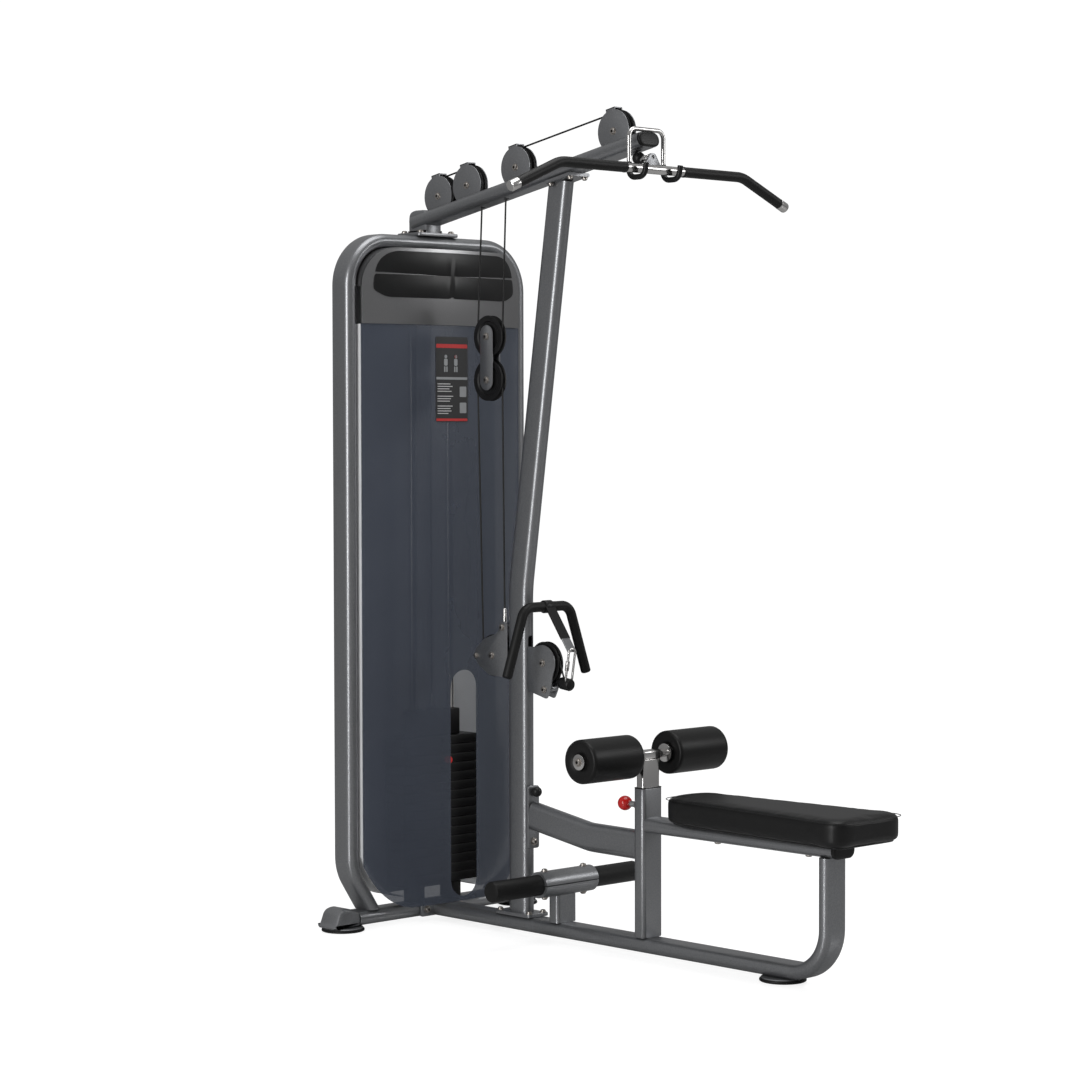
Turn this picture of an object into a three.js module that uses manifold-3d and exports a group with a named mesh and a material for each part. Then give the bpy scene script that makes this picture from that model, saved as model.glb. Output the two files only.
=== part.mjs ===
// Lat pulldown and low row machine: a weight tower, a sloping boom on a tall post, a seat and knee rollers.
// Millimetres, +Z up. X runs from the weight tower towards the seat, Y runs across the machine, and the
// numbers below are measured from the tower's centre plane (X 0), the machine's centre plane (Y 0) and the
// floor (Z 0). The finished group is moved along X so that the middle of its bounding box is at X 0.
import * as THREE from "three";
import { mergeVertices } from "three/addons/utils/BufferGeometryUtils.js";
import Module from "manifold-3d";

const wasm = await Module();
wasm.setup();

// ---------------------------------------------------------------- driving dimensions
const GAP = 0.3; // left between two pieces that rest on each other
const FAR = 4000; // longer than anything a cutter goes through

const TUBE = { wide: 80, thin: 40, round: 20, wall: 3.5 }; // flat-sided oval tube of the whole frame
const FOOT = { radius: 61, rubber: 8, top: 11.7, y: 336, frontX: 1351 };
const FLOOR_TUBE_Z = 32; // centre height of the tubes that lie on the feet
const FLOOR_TUBE_TOP = FLOOR_TUBE_Z + TUBE.thin / 2;
const FLOOR_TUBE_BOTTOM = FLOOR_TUBE_Z - TUBE.thin / 2;

const LOOP = { y: 322, top: 1942, bend: 130, kneeZ: 168.5, kneeAngle: 37 };
const LOOP_INSIDE = LOOP.y - TUBE.thin / 2;
const CROSS = { end: 303 }; // half length of the cross tube
const LEG = { x: 1515, bend: 120, top: 334.7 };
const UPRIGHT = { x: 378, bendZ: 968, lean: 0.1475, bend: 500, top: 2105 };
const UPRIGHT_FOOT = { long: 140, wide: 78, round: 8, thick: 9.7 };
const UPRIGHT_HEAD = { rear: 515, front: 608, wide: 78, thick: 10, round: 3 }; // plate under the boom
const UPRIGHT_SLOT = { wide: 18, high: 150, z: 762 }; // the lower cable goes through it
const BOOM = { rear: -45, front: 870, height: 2012.6, slope: 0.1876 };
const MAST = { x: -22, deep: 80, wide: 60, round: 10, plateZ: 1962.3, plate: 10, top: 2040 };
const MAST_PLATE = { x: -10, long: 100, wide: 150, round: 8 };
const POCKET_CLEAR = 2.5; // between a boom pulley and its pocket
const CABLE_HOLE = { radius: 8, rearPulley: 224, midPulley: 322, frontX: 826 };

const PULLEY = { radius: 59, cable: 51, groove: 47.5, width: 18, bore: 6.8 };
const AXLE_BOLT = 6; // radius
const GUARD = { radius: 58, inner: 12, outer: 15, head: 9, headEnd: 21, tabLow: 61, tabHigh: 64 };
const UPPER_PULLEYS = [
  { x: 51, z: 2076 },
  { x: 173, z: 2099 },
  { x: 374, z: 2136 },
  { x: 757, z: 2206 },
];
const FLOAT = { x: 253, upperZ: 1671, lowerZ: 1549, width: 52, low: 1520, high: 1703 };
const REAR_PULLEY = { x: 274, z: 774 };
const FRONT_PULLEY = { x: 480, z: 764 };
const BRACKET = { inner: 12.5, outer: 16.5 };
const KEEPER = { x: 209, z: 771, radius: 4 }; // stops the cable jumping off the rear low pulley
const STOP_BOLT = { x: 487, z: 691 }; // holds the ball stop off the front low pulley
const GUIDE_ROLLER = { x: 504, z: 694, radius: 8 };
const CABLE_RADIUS = 2.6;
const LAT_BALL = { x: 838, z: 2129, radius: 17.5 };
const ROW_BALL = { x: 557, z: 710, radius: 20 };
const CABLE_END = { x: 311, boltX: 317, low: 855, high: 909, radius: 6.5 };
const STACK_CABLE_TOP = 1500; // where the drop to the stack is divided into two nodes

const PANEL = { edgeX: 50, midX: 92, halfWidth: 300, sheet: 4, rearX: -50, low: 53, rearLow: 78, split: 1707 };
const CORNER = { flat: 150, easeY: 245, easeZ: 12, rise: 131 }; // a cover's lower corners
const SLOT = { y: 44, width: 106, z: 392.5, height: 653, round: 50 };
const HEADER_SHEET = 6;
const STRIP = { front: 44, inner: 296 };

const ROD = { y: 70, radius: 12.5, hole: 13.2 };
const BUMPER = { radius: 30, height: 50 };
const PLATE = { wide: 285, deep: 80, thick: 26.5, count: 16, lifted: 3 };
const HEAD = { wide: 180, deep: 50, high: 85 };
const SELECTOR = { radius: 11, hole: 12.2, low: 120 };
const PIN = { y: 3, radius: 5, hole: 5.6, tip: -13, headX: 58, headEnd: 76, headRadius: 11 };

const KNEE = { x: 871, wide: 75, deep: 40, round: 12, top: 452 };
const INNER = { wide: 64, deep: 30, round: 8, low: 300, top: 528, clear: 0.7 };
const KNEE_HOLES = { pitch: 25, above: 2, below: 4, depth: 10 };
const KNEE_AXLE = { z: 541, radius: 11, half: 264 };
const ROLLER = { radius: 58.5, inner: 68, outer: 257 };
const POP_PIN = { z: 403, ballX: 785, ball: 20, sleeve: 12, shaft: 5, tipX: 862 };

const RAIL = { z: 355, front: 1549 };
const SEAT = { rear: 982, front: 1660, rearHalf: 93, frontHalf: 146, low: 375.3, high: 450 };
const BRACE = { plateX: 418.3, plateEnd: 428, startZ: 334.4, bendX: 655, bendZ: 297.5, endZ: 295.5 };
const FOOT_BAR = { x: 548, z: 164, radius: 28.5, half: 275, clamp: 36, clampHalf: 100, postX: 542 };

const LAT_BAR = { x: 895, z: 2095, radius: 14, bendY: 345, endY: 520, endZ: 2021 };
const HOLDER = { x: 866, y: 65, radius: 6, top: 2202.2, low: 2072, tipX: 929, tipZ: 2106, bend: 22 };
const ROW_HANDLE = { x: 482, radius: 14, top: 920, topHalf: 85, lowHalf: 150, low: 735 };
const STRAP = { x: 492, z: 922, endX: 581, endZ: 800, wide: 25, thick: 6 };

const COLOURS = {
  frame: { color: 0x8a8f96, roughness: 0.42, metalness: 0.75 },
  black: { color: 0x141414, roughness: 0.6, metalness: 0.0 },
  chrome: { color: 0xd8dadc, roughness: 0.12, metalness: 1.0 },
  shroud: { color: 0x31363f, roughness: 0.25, metalness: 0.0 },
  silver: { color: 0x9a9da2, roughness: 0.45, metalness: 0.6 },
  rubber: { color: 0x1b1b1b, roughness: 0.85, metalness: 0.0 },
  red: { color: 0xbd241f, roughness: 0.35, metalness: 0.0 },
};

// ---------------------------------------------------------------- solids
function solidOf(geometry) {
  geometry.deleteAttribute("normal");
  geometry.deleteAttribute("uv");
  const merged = mergeVertices(geometry, 1e-3);
  const mesh = new wasm.Mesh({
    numProp: 3,
    vertProperties: merged.attributes.position.array,
    triVerts: new Uint32Array(merged.index.array),
  });
  return new wasm.Manifold(mesh);
}

function union(...solids) {
  return solids.reduce((sum, one) => sum.add(one));
}

function cut(solid, ...cutters) {
  return cutters.reduce((rest, one) => rest.subtract(one), solid);
}

function roundedRect(width, height, radius, cx = 0, cy = 0) {
  const r = Math.min(radius, width / 2 - 1e-3, height / 2 - 1e-3);
  const w = width / 2;
  const h = height / 2;
  const shape = new THREE.Shape();
  shape.moveTo(cx + w, cy - h + r);
  shape.lineTo(cx + w, cy + h - r);
  shape.absarc(cx + w - r, cy + h - r, r, 0, Math.PI / 2);
  shape.absarc(cx - w + r, cy + h - r, r, Math.PI / 2, Math.PI);
  shape.absarc(cx - w + r, cy - h + r, r, Math.PI, 1.5 * Math.PI);
  shape.absarc(cx + w - r, cy - h + r, r, 1.5 * Math.PI, 2 * Math.PI);
  return shape;
}

function hollow(shape, hole) {
  shape.holes.push(hole);
  return shape;
}

// Tube section: across is its width along the shape's own x, the other size is along y.
function tubeSection(across, along, radius = TUBE.round, wall = TUBE.wall) {
  const inside = roundedRect(across - 2 * wall, along - 2 * wall, Math.max(radius - wall, 1));
  return hollow(roundedRect(across, along, radius), inside);
}

function disc(radius, cx = 0, cy = 0) {
  const shape = new THREE.Shape();
  shape.absarc(cx, cy, radius, 0, 2 * Math.PI);
  return shape;
}

function polygon(points) {
  return new THREE.Shape(points.map(([x, y]) => new THREE.Vector2(x, y)));
}

const AXES = {
  x: new THREE.Matrix4().makeBasis(
    new THREE.Vector3(0, 1, 0),
    new THREE.Vector3(0, 0, 1),
    new THREE.Vector3(1, 0, 0),
  ),
  y: new THREE.Matrix4().makeBasis(
    new THREE.Vector3(1, 0, 0),
    new THREE.Vector3(0, 0, 1),
    new THREE.Vector3(0, -1, 0),
  ),
  z: new THREE.Matrix4(),
};

// A shape pushed along an axis from low to high. Its own (x, y) lie on (Y, Z), (X, Z) or (X, Y).
function prism(shape, axis, low, high, curveSegments = 1) {
  const geometry = new THREE.ExtrudeGeometry(shape, {
    depth: high - low,
    bevelEnabled: false,
    curveSegments,
  });
  geometry.translate(0, 0, axis === "y" ? -high : low);
  geometry.applyMatrix4(AXES[axis]);
  return solidOf(geometry);
}

const ROUND = 8; // curve segments of a full circle: it gets twice as many sides

function rod(radius, axis, low, high, cx = 0, cy = 0, sides = ROUND) {
  return prism(disc(radius, cx, cy), axis, low, high, sides);
}

function block(x0, x1, y0, y1, z0, z1) {
  const geometry = new THREE.BoxGeometry(x1 - x0, y1 - y0, z1 - z0);
  geometry.translate((x0 + x1) / 2, (y0 + y1) / 2, (z0 + z1) / 2);
  return solidOf(geometry);
}

function ball(x, y, z, radius) {
  const geometry = new THREE.SphereGeometry(radius, 12, 8);
  geometry.translate(x, y, z);
  return solidOf(geometry);
}

// A path whose stations are given outright, so that a straight stretch costs one step.
class Route extends THREE.Curve {
  constructor(stations) {
    super();
    this.stations = stations;
  }

  stationAt(u) {
    return this.stations[Math.round(u * (this.stations.length - 1))];
  }

  getPointAt(u, target = new THREE.Vector3()) {
    return target.copy(this.stationAt(u).point);
  }

  getTangentAt(u, target = new THREE.Vector3()) {
    return target.copy(this.stationAt(u).tangent);
  }
}

// Stations of a line through corners, each corner rounded to the radius in steps of about stepDegrees.
function bent(corners, radius, stepDegrees = 22) {
  const points = corners.map((c) => new THREE.Vector3(c[0], c[1], c[2] ?? 0));
  const headings = points.slice(1).map((p, i) => p.clone().sub(points[i]).normalize());
  const stations = [{ point: points[0], tangent: headings[0] }];
  for (let i = 1; i < points.length - 1; i++) {
    const before = headings[i - 1];
    const after = headings[i];
    const angle = before.angleTo(after);
    const start = points[i].clone().addScaledVector(before, -radius * Math.tan(angle / 2));
    const hinge = before.clone().cross(after).normalize();
    const inward = hinge.clone().cross(before);
    const centre = start.clone().addScaledVector(inward, radius);
    const steps = Math.max(1, Math.round(THREE.MathUtils.radToDeg(angle) / stepDegrees));
    for (let k = 0; k <= steps; k++) {
      const turn = (angle * k) / steps;
      const spoke = inward.clone().negate().applyAxisAngle(hinge, turn);
      stations.push({
        point: centre.clone().addScaledVector(spoke, radius),
        tangent: before.clone().applyAxisAngle(hinge, turn),
      });
    }
  }
  stations.push({ point: points.at(-1), tangent: headings.at(-1) });
  return stations;
}

// A section swept along stations. With a plane axis the stations' (x, y) lie on the same plane as a
// prism's, the section's x is across that plane and its y lies in it. Without one they are in space.
function sweep(shape, stations, planeAxis = "z", curveSegments = 1) {
  const geometry = new THREE.ExtrudeGeometry(shape, {
    steps: stations.length - 1,
    extrudePath: new Route(stations),
    curveSegments,
  });
  geometry.applyMatrix4(AXES[planeAxis]);
  return solidOf(geometry);
}

function straight(shape, x0, y0, x1, y1, planeAxis) {
  return sweep(shape, bent([[x0, y0], [x1, y1]], 1), planeAxis);
}

// A ring round the axle direction Y, turned from its (radius, y) outline.
function turned(outline, x, z, segments = 16) {
  const points = outline.map(([r, y]) => new THREE.Vector2(r, y));
  points.push(points[0].clone());
  const geometry = new THREE.LatheGeometry(points, segments);
  geometry.translate(x, 0, z);
  return solidOf(geometry);
}

// ---------------------------------------------------------------- pieces
const machine = new THREE.Group();

function piece(name, finish, solid) {
  const { vertProperties, triVerts } = solid.getMesh();
  const geometry = new THREE.BufferGeometry();
  geometry.setAttribute("position", new THREE.BufferAttribute(vertProperties, 3));
  geometry.setIndex(new THREE.BufferAttribute(triVerts, 1));
  geometry.computeVertexNormals();
  const mesh = new THREE.Mesh(geometry, new THREE.MeshStandardMaterial(COLOURS[finish]));
  mesh.name = name;
  machine.add(mesh);
}

const SIDES = [
  ["left", -1],
  ["right", 1],
];

const boomZ = (x) => BOOM.height + BOOM.slope * x;

function boomSlab(section, x0, x1, offset = 0) {
  const along = Math.atan(BOOM.slope);
  const dx = -offset * Math.sin(along);
  const dz = offset * Math.cos(along);
  return straight(section, x0 + dx, boomZ(x0) + dz, x1 + dx, boomZ(x1) + dz, "y");
}

function boomEnvelope() {
  const section = roundedRect(TUBE.wide + 2 * GAP, TUBE.thin + 2 * GAP, TUBE.round + GAP);
  return boomSlab(section, BOOM.rear - GAP, BOOM.front + GAP);
}

const towerCableHole = () => rod(CABLE_HOLE.radius, "z", 1800, 2200, 0, 0, 6);

// The steel base: cross tube, cast feet, rubber pads and the long beam that turns up as the front leg.
function makeBase() {
  const flat = tubeSection(TUBE.wide, TUBE.thin);
  const across = sweep(flat, bent([[0, -CROSS.end], [0, CROSS.end]], 1), "z");
  const upright = new THREE.Matrix4().makeRotationY(Math.PI / 2);
  const lying = across.transform(upright.elements).translate([0, 0, FLOOR_TUBE_Z]);
  piece("cross_tube", "frame", lying);

  const casting = [
    [CROSS.end + GAP, FLOOR_TUBE_BOTTOM],
    [398, FLOOR_TUBE_BOTTOM],
    [398, 18],
    [391, 26],
    [387, 63],
    [380, 70],
    [364, 74],
    [345, 74],
    [CROSS.end + GAP, 68],
  ];
  for (const [side, sign] of SIDES) {
    const outline = casting.map(([y, z]) => [sign * y, z]);
    if (sign < 0) outline.reverse();
    piece(`foot_casting_${side}`, "frame", prism(polygon(outline), "x", -TUBE.wide / 2, TUBE.wide / 2));
  }
  const pads = { left: [0, -FOOT.y], right: [0, FOOT.y], front: [FOOT.frontX, 0] };
  for (const [place, [x, y]] of Object.entries(pads)) {
    const rubber = rod(FOOT.radius, "z", 0, FOOT.rubber, x, y);
    const flange = rod(FOOT.radius - 4, "z", FOOT.rubber - 1, FOOT.top, x, y);
    piece(`foot_pad_${place}`, "rubber", union(rubber, flange));
  }

  const flangeX = TUBE.wide / 2 + GAP;
  const beam = sweep(
    tubeSection(TUBE.wide, TUBE.thin),
    bent([[flangeX + 9, FLOOR_TUBE_Z], [LEG.x, FLOOR_TUBE_Z], [LEG.x, LEG.top]], LEG.bend, 15),
    "y",
  );
  const flange = prism(roundedRect(170, 36, 6, 0, FLOOR_TUBE_Z), "x", flangeX, flangeX + 10);
  piece("base_beam", "frame", union(beam, flange));
}

// The closed hoop that frames the weight tower, standing on the cross tube.
function makeTowerLoop() {
  const drop = LOOP.kneeZ - 20;
  const footY = LOOP.y - drop * Math.tan(THREE.MathUtils.degToRad(LOOP.kneeAngle));
  const corners = [
    [footY, 20],
    [LOOP.y, LOOP.kneeZ],
    [LOOP.y, LOOP.top],
    [-LOOP.y, LOOP.top],
    [-LOOP.y, LOOP.kneeZ],
    [-footY, 20],
  ];
  const hoop = sweep(tubeSection(TUBE.wide, TUBE.thin), bent(corners, LOOP.bend), "x");
  const floor = block(-FAR, FAR, -FAR, FAR, -100, FLOOR_TUBE_TOP + GAP);
  piece("tower_loop", "frame", cut(hoop, floor, towerCableHole()));
}

// The sloping boom, the stub that carries it on the tower and the leaning post that carries its middle.
function makeBoom() {
  const tube = boomSlab(tubeSection(TUBE.wide, TUBE.thin), BOOM.rear, BOOM.front);
  const pockets = UPPER_PULLEYS.map(({ x, z }) =>
    rod(PULLEY.radius + POCKET_CLEAR, "y", -GUARD.outer - 0.8, GUARD.outer + 0.8, x, z),
  );
  const drops = [CABLE_HOLE.rearPulley, CABLE_HOLE.midPulley].map((x) =>
    rod(CABLE_HOLE.radius, "z", 1900, 2300, x, 0, 6),
  );
  const front = prism(roundedRect(44, 16, 8, CABLE_HOLE.frontX, 0), "z", 1900, 2300);
  piece("boom", "frame", cut(tube, ...pockets, ...drops, front, towerCableHole()));

  const plateTop = MAST.plateZ + MAST.plate;
  const stub = prism(roundedRect(MAST.deep, MAST.wide, MAST.round, MAST.x, 0), "z", plateTop - 1, MAST.top);
  const { x, long, wide, round } = MAST_PLATE;
  const plate = prism(roundedRect(long, wide, round, x, 0), "z", MAST.plateZ, plateTop);
  const pocket = rod(PULLEY.radius + POCKET_CLEAR, "y", -FAR, FAR, UPPER_PULLEYS[0].x, UPPER_PULLEYS[0].z);
  piece("mast_stub", "frame", cut(union(stub, plate), boomEnvelope(), towerCableHole(), pocket));
}

function makeUpright() {
  const topX = UPRIGHT.x + UPRIGHT.lean * (UPRIGHT.top - UPRIGHT.bendZ);
  const route = bent(
    [[UPRIGHT.x, FLOOR_TUBE_TOP + GAP], [UPRIGHT.x, UPRIGHT.bendZ], [topX, UPRIGHT.top]],
    UPRIGHT.bend,
    3,
  );
  const post = sweep(tubeSection(TUBE.thin, TUBE.wide), route, "y");
  const footLow = FLOOR_TUBE_TOP + GAP;
  const footShape = roundedRect(UPRIGHT_FOOT.long, UPRIGHT_FOOT.wide, UPRIGHT_FOOT.round, UPRIGHT.x, 0);
  const foot = prism(footShape, "z", footLow, footLow + UPRIGHT_FOOT.thick);
  const { rear, front, wide, thick, round } = UPRIGHT_HEAD;
  const plate = boomSlab(roundedRect(wide, thick, round), rear, front, -(TUBE.thin / 2 + 2 * GAP + thick / 2));
  const slotShape = roundedRect(UPRIGHT_SLOT.wide, UPRIGHT_SLOT.high, UPRIGHT_SLOT.wide / 2, 0, UPRIGHT_SLOT.z);
  const slot = prism(slotShape, "x", UPRIGHT.x - 60, UPRIGHT.x + 60);
  piece("upright", "frame", cut(union(post, foot, plate), boomEnvelope(), slot));
}

function makeBrace() {
  const section = tubeSection(TUBE.thin, TUBE.wide);
  const end = KNEE.x - KNEE.deep / 2 - 1;
  const corners = [[BRACE.plateEnd - 1, BRACE.startZ], [BRACE.bendX, BRACE.bendZ], [end, BRACE.endZ]];
  const tube = sweep(section, bent(corners, 200, 6), "y");
  const plate = prism(roundedRect(78, 150, 10, 0, 325), "x", BRACE.plateX, BRACE.plateEnd);
  piece("yoke_brace", "frame", union(tube, plate));
}

// Knee post with its telescoping chrome post, the roller axle and two foam rollers.
function makeKneeRest() {
  const low = FLOOR_TUBE_TOP + GAP;
  const wall = 2 * INNER.clear;
  const clearSection = () => roundedRect(INNER.deep + wall, INNER.wide + wall, INNER.round, KNEE.x, 0);
  const post = prism(roundedRect(KNEE.deep, KNEE.wide, KNEE.round, KNEE.x, 0), "z", low, KNEE.top);
  const pinHole = rod(POP_PIN.shaft + 0.5, "x", KNEE.x - 40, KNEE.x, 0, POP_PIN.z, 6);
  piece("knee_post", "frame", cut(post, prism(clearSection(), "z", low + 20, FAR), pinHole));

  const ring = roundedRect(KNEE.deep, KNEE.wide, KNEE.round, KNEE.x, 0);
  const collar = cut(prism(ring, "z", KNEE.top + GAP, KNEE.top + 6), prism(clearSection(), "z", 0, FAR));
  piece("post_collar", "black", collar);

  const inner = prism(roundedRect(INNER.deep, INNER.wide, INNER.round, KNEE.x, 0), "z", INNER.low, INNER.top + 1);
  const housing = prism(roundedRect(INNER.deep, 26, 8, KNEE.x, KNEE_AXLE.z), "y", -35, 35);
  const holes = [];
  const rearFace = KNEE.x - INNER.deep / 2;
  for (let k = -KNEE_HOLES.below; k <= KNEE_HOLES.above; k++) {
    const z = POP_PIN.z + k * KNEE_HOLES.pitch;
    holes.push(rod(POP_PIN.shaft + 0.5, "x", rearFace - 1, rearFace + KNEE_HOLES.depth, 0, z, 6));
  }
  const axleHole = rod(KNEE_AXLE.radius + 0.8, "y", -FAR, FAR, KNEE.x, KNEE_AXLE.z, 6);
  piece("inner_post", "chrome", cut(union(inner, housing), axleHole, ...holes));

  const axle = rod(KNEE_AXLE.radius, "y", -KNEE_AXLE.half, KNEE_AXLE.half, KNEE.x, KNEE_AXLE.z, 6);
  const washers = SIDES.flatMap(([, sign]) => [
    rod(21, "y", ...span(sign, ROLLER.outer + 0.5, ROLLER.outer + 5), KNEE.x, KNEE_AXLE.z, 6),
    rod(25, "y", ...span(sign, ROLLER.inner - 6, ROLLER.inner - 0.5), KNEE.x, KNEE_AXLE.z, 6),
  ]);
  piece("knee_axle", "chrome", union(axle, ...washers));
  for (const [side, sign] of SIDES) {
    const foam = rod(ROLLER.radius, "y", ...span(sign, ROLLER.inner, ROLLER.outer), KNEE.x, KNEE_AXLE.z, 12);
    const bore = rod(KNEE_AXLE.radius + 0.4, "y", -FAR, FAR, KNEE.x, KNEE_AXLE.z, 12);
    piece(`knee_roller_${side}`, "black", cut(foam, bore));
  }

  const knob = ball(POP_PIN.ballX, 0, POP_PIN.z, POP_PIN.ball);
  const rear = KNEE.x - KNEE.deep / 2 - GAP;
  const sleeve = rod(POP_PIN.sleeve, "x", POP_PIN.ballX + 14, rear - 13, 0, POP_PIN.z, 8);
  const shaft = rod(POP_PIN.shaft, "x", POP_PIN.ballX, POP_PIN.tipX, 0, POP_PIN.z, 6);
  piece("pop_pin", "red", union(knob, sleeve, shaft));
}

// An interval on one side of the centre plane, lowest end first.
function span(sign, near, far) {
  return sign > 0 ? [near, far] : [-far, -near];
}

function makeSeat() {
  const start = KNEE.x + KNEE.deep / 2 + GAP;
  const rail = straight(tubeSection(TUBE.wide, TUBE.thin), start, RAIL.z, RAIL.front, RAIL.z, "y");
  piece("seat_rail", "frame", rail);

  const pad = new THREE.Shape();
  const { rear, front, rearHalf, frontHalf } = SEAT;
  pad.moveTo(rear, -rearHalf + 45);
  pad.quadraticCurveTo(rear, -rearHalf, rear + 50, -rearHalf - 3);
  pad.lineTo(front - 60, -frontHalf + 3);
  pad.quadraticCurveTo(front, -frontHalf, front, -frontHalf + 60);
  pad.lineTo(front, frontHalf - 60);
  pad.quadraticCurveTo(front, frontHalf, front - 60, frontHalf - 3);
  pad.lineTo(rear + 50, rearHalf + 3);
  pad.quadraticCurveTo(rear, rearHalf, rear, rearHalf - 45);
  pad.closePath();
  piece("seat_pad", "black", prism(pad, "z", SEAT.low, SEAT.high, 6));
}

function makeFootBar() {
  const { x, z, radius, half, clamp, clampHalf, postX } = FOOT_BAR;
  piece("foot_bar", "black", rod(radius, "y", -half, half, x, z, 12));
  const ring = cut(
    rod(clamp, "y", -clampHalf, clampHalf, x, z, 12),
    rod(radius + GAP, "y", -FAR, FAR, x, z, 12),
  );
  piece("foot_bar_cap", "frame", cut(ring, block(-FAR, FAR, -FAR, FAR, -FAR, z + 1)));
  piece("foot_bar_clamp", "frame", cut(ring, block(-FAR, FAR, -FAR, FAR, z - 1, FAR)));
  const post = prism(roundedRect(TUBE.thin, 75, 12, postX, 0), "z", FLOOR_TUBE_TOP + GAP, 140);
  piece("foot_bar_post", "frame", cut(post, rod(clamp + GAP, "y", -FAR, FAR, x, z, 12)));
}

// The tower's covers. Front ones are bowed: they bulge from edgeX at their edges to midX in the middle.
function bowedSheet(thickness, low, high) {
  const bulge = PANEL.midX - PANEL.edgeX;
  const radius = (PANEL.halfWidth ** 2 + bulge ** 2) / (2 * bulge);
  const centre = PANEL.midX - radius;
  const half = Math.asin(PANEL.halfWidth / radius);
  const shape = new THREE.Shape();
  shape.absarc(centre, 0, radius, -half, half);
  shape.absarc(centre, 0, radius - thickness, half, -half, true);
  return prism(shape, "z", low, high, 7);
}

// Outline of the space inside the hoop, on (Y, Z).
function coverOutline(low) {
  const half = PANEL.halfWidth;
  const top = LOOP.top - TUBE.thin / 2 - GAP;
  const corner = LOOP.bend - TUBE.thin / 2;
  const shape = new THREE.Shape();
  shape.moveTo(-CORNER.flat, low);
  shape.lineTo(CORNER.flat, low);
  shape.quadraticCurveTo(CORNER.easeY, low + CORNER.easeZ, half, low + CORNER.rise);
  shape.lineTo(half, top - corner);
  shape.absarc(half - corner, top - corner, corner, 0, Math.PI / 2);
  shape.lineTo(corner - half, top);
  shape.absarc(corner - half, top - corner, corner, Math.PI / 2, Math.PI);
  shape.lineTo(-half, low + CORNER.rise);
  shape.quadraticCurveTo(-CORNER.easeY, low + CORNER.easeZ, -CORNER.flat, low);
  return shape;
}

function makeCovers() {
  const inside = prism(coverOutline(PANEL.low), "x", -200, 200, 4);
  const slot = prism(roundedRect(SLOT.width, SLOT.height, SLOT.round, SLOT.y, SLOT.z), "x", 0, 200);
  const front = bowedSheet(PANEL.sheet, PANEL.low, PANEL.split - GAP);
  piece("front_shroud", "shroud", cut(front.intersect(inside), slot));
  piece("header_shell", "silver", bowedSheet(HEADER_SHEET, PANEL.split, LOOP.top).intersect(inside));

  const back = prism(coverOutline(PANEL.rearLow), "x", PANEL.rearX - PANEL.sheet, PANEL.rearX, 4);
  const returns = SIDES.map(([, sign]) => {
    const [y0, y1] = span(sign, STRIP.inner, PANEL.halfWidth);
    return block(PANEL.rearX - 1, STRIP.front, y0, y1, PANEL.rearLow + CORNER.rise, PANEL.split - 1);
  });
  piece("rear_cover", "silver", union(back, ...returns));
}

// The weight stack: rods, bumpers, the plates that stay down, the plates on the pin, and the head.
function makeStack() {
  const base = FLOOR_TUBE_TOP + GAP;
  const restingTop = base + BUMPER.height + GAP + (PLATE.count - PLATE.lifted) * PLATE.thick;
  const liftedTop = restingTop + GAP + PLATE.lifted * PLATE.thick;
  const rodHoles = SIDES.map(([, sign]) => rod(ROD.hole, "z", 0, FAR, 0, sign * ROD.y, 6));
  for (const [side, sign] of SIDES) {
    piece(
      `guide_rod_${side}`,
      "chrome",
      rod(ROD.radius, "z", base, LOOP.top - TUBE.thin / 2 - GAP, 0, sign * ROD.y, 8),
    );
    const rubber = rod(BUMPER.radius, "z", base, base + BUMPER.height, 0, sign * ROD.y, 8);
    piece(`rod_bumper_${side}`, "rubber", cut(rubber, ...rodHoles));
  }
  const plates = (low, high) =>
    cut(
      prism(roundedRect(PLATE.deep, PLATE.wide, 4), "z", low, high, 1),
      ...rodHoles,
      rod(SELECTOR.hole, "z", 0, FAR, 0, 0, 6),
    );
  const pinZ = restingTop + GAP + 0.5 * PLATE.thick;
  const pinHole = rod(PIN.hole, "x", PIN.tip - 2, FAR, PIN.y, pinZ, 6);
  piece("resting_plates", "black", plates(base + BUMPER.height + GAP, restingTop));
  piece("lifted_plates", "black", cut(plates(restingTop + GAP, liftedTop), pinHole));

  const headLow = liftedTop + GAP;
  const head = prism(roundedRect(HEAD.deep, HEAD.wide, 8), "z", headLow, headLow + HEAD.high);
  const selector = rod(SELECTOR.radius, "z", SELECTOR.low, headLow + 1, 0, 0, 8);
  piece("stack_head", "black", cut(union(head, selector), ...rodHoles, pinHole));

  const shaft = rod(PIN.radius, "x", PIN.tip, PIN.headX + 1, PIN.y, pinZ, 6);
  piece("weight_pin", "red", union(shaft, rod(PIN.headRadius, "x", PIN.headX, PIN.headEnd, PIN.y, pinZ, 8)));
  return headLow + HEAD.high;
}

function makePulley(name, { x, z }) {
  const half = PULLEY.width / 2;
  const outline = [
    [PULLEY.bore, -half],
    [PULLEY.radius, -half],
    [PULLEY.groove, -half * 0.3],
    [PULLEY.groove, half * 0.3],
    [PULLEY.radius, half],
    [PULLEY.bore, half],
  ];
  piece(name, "black", turned(outline, x, z));
}

function boltThrough({ x, z }, radius, headEnd) {
  return rod(radius, "y", -headEnd, headEnd, x, z, 6);
}

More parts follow.
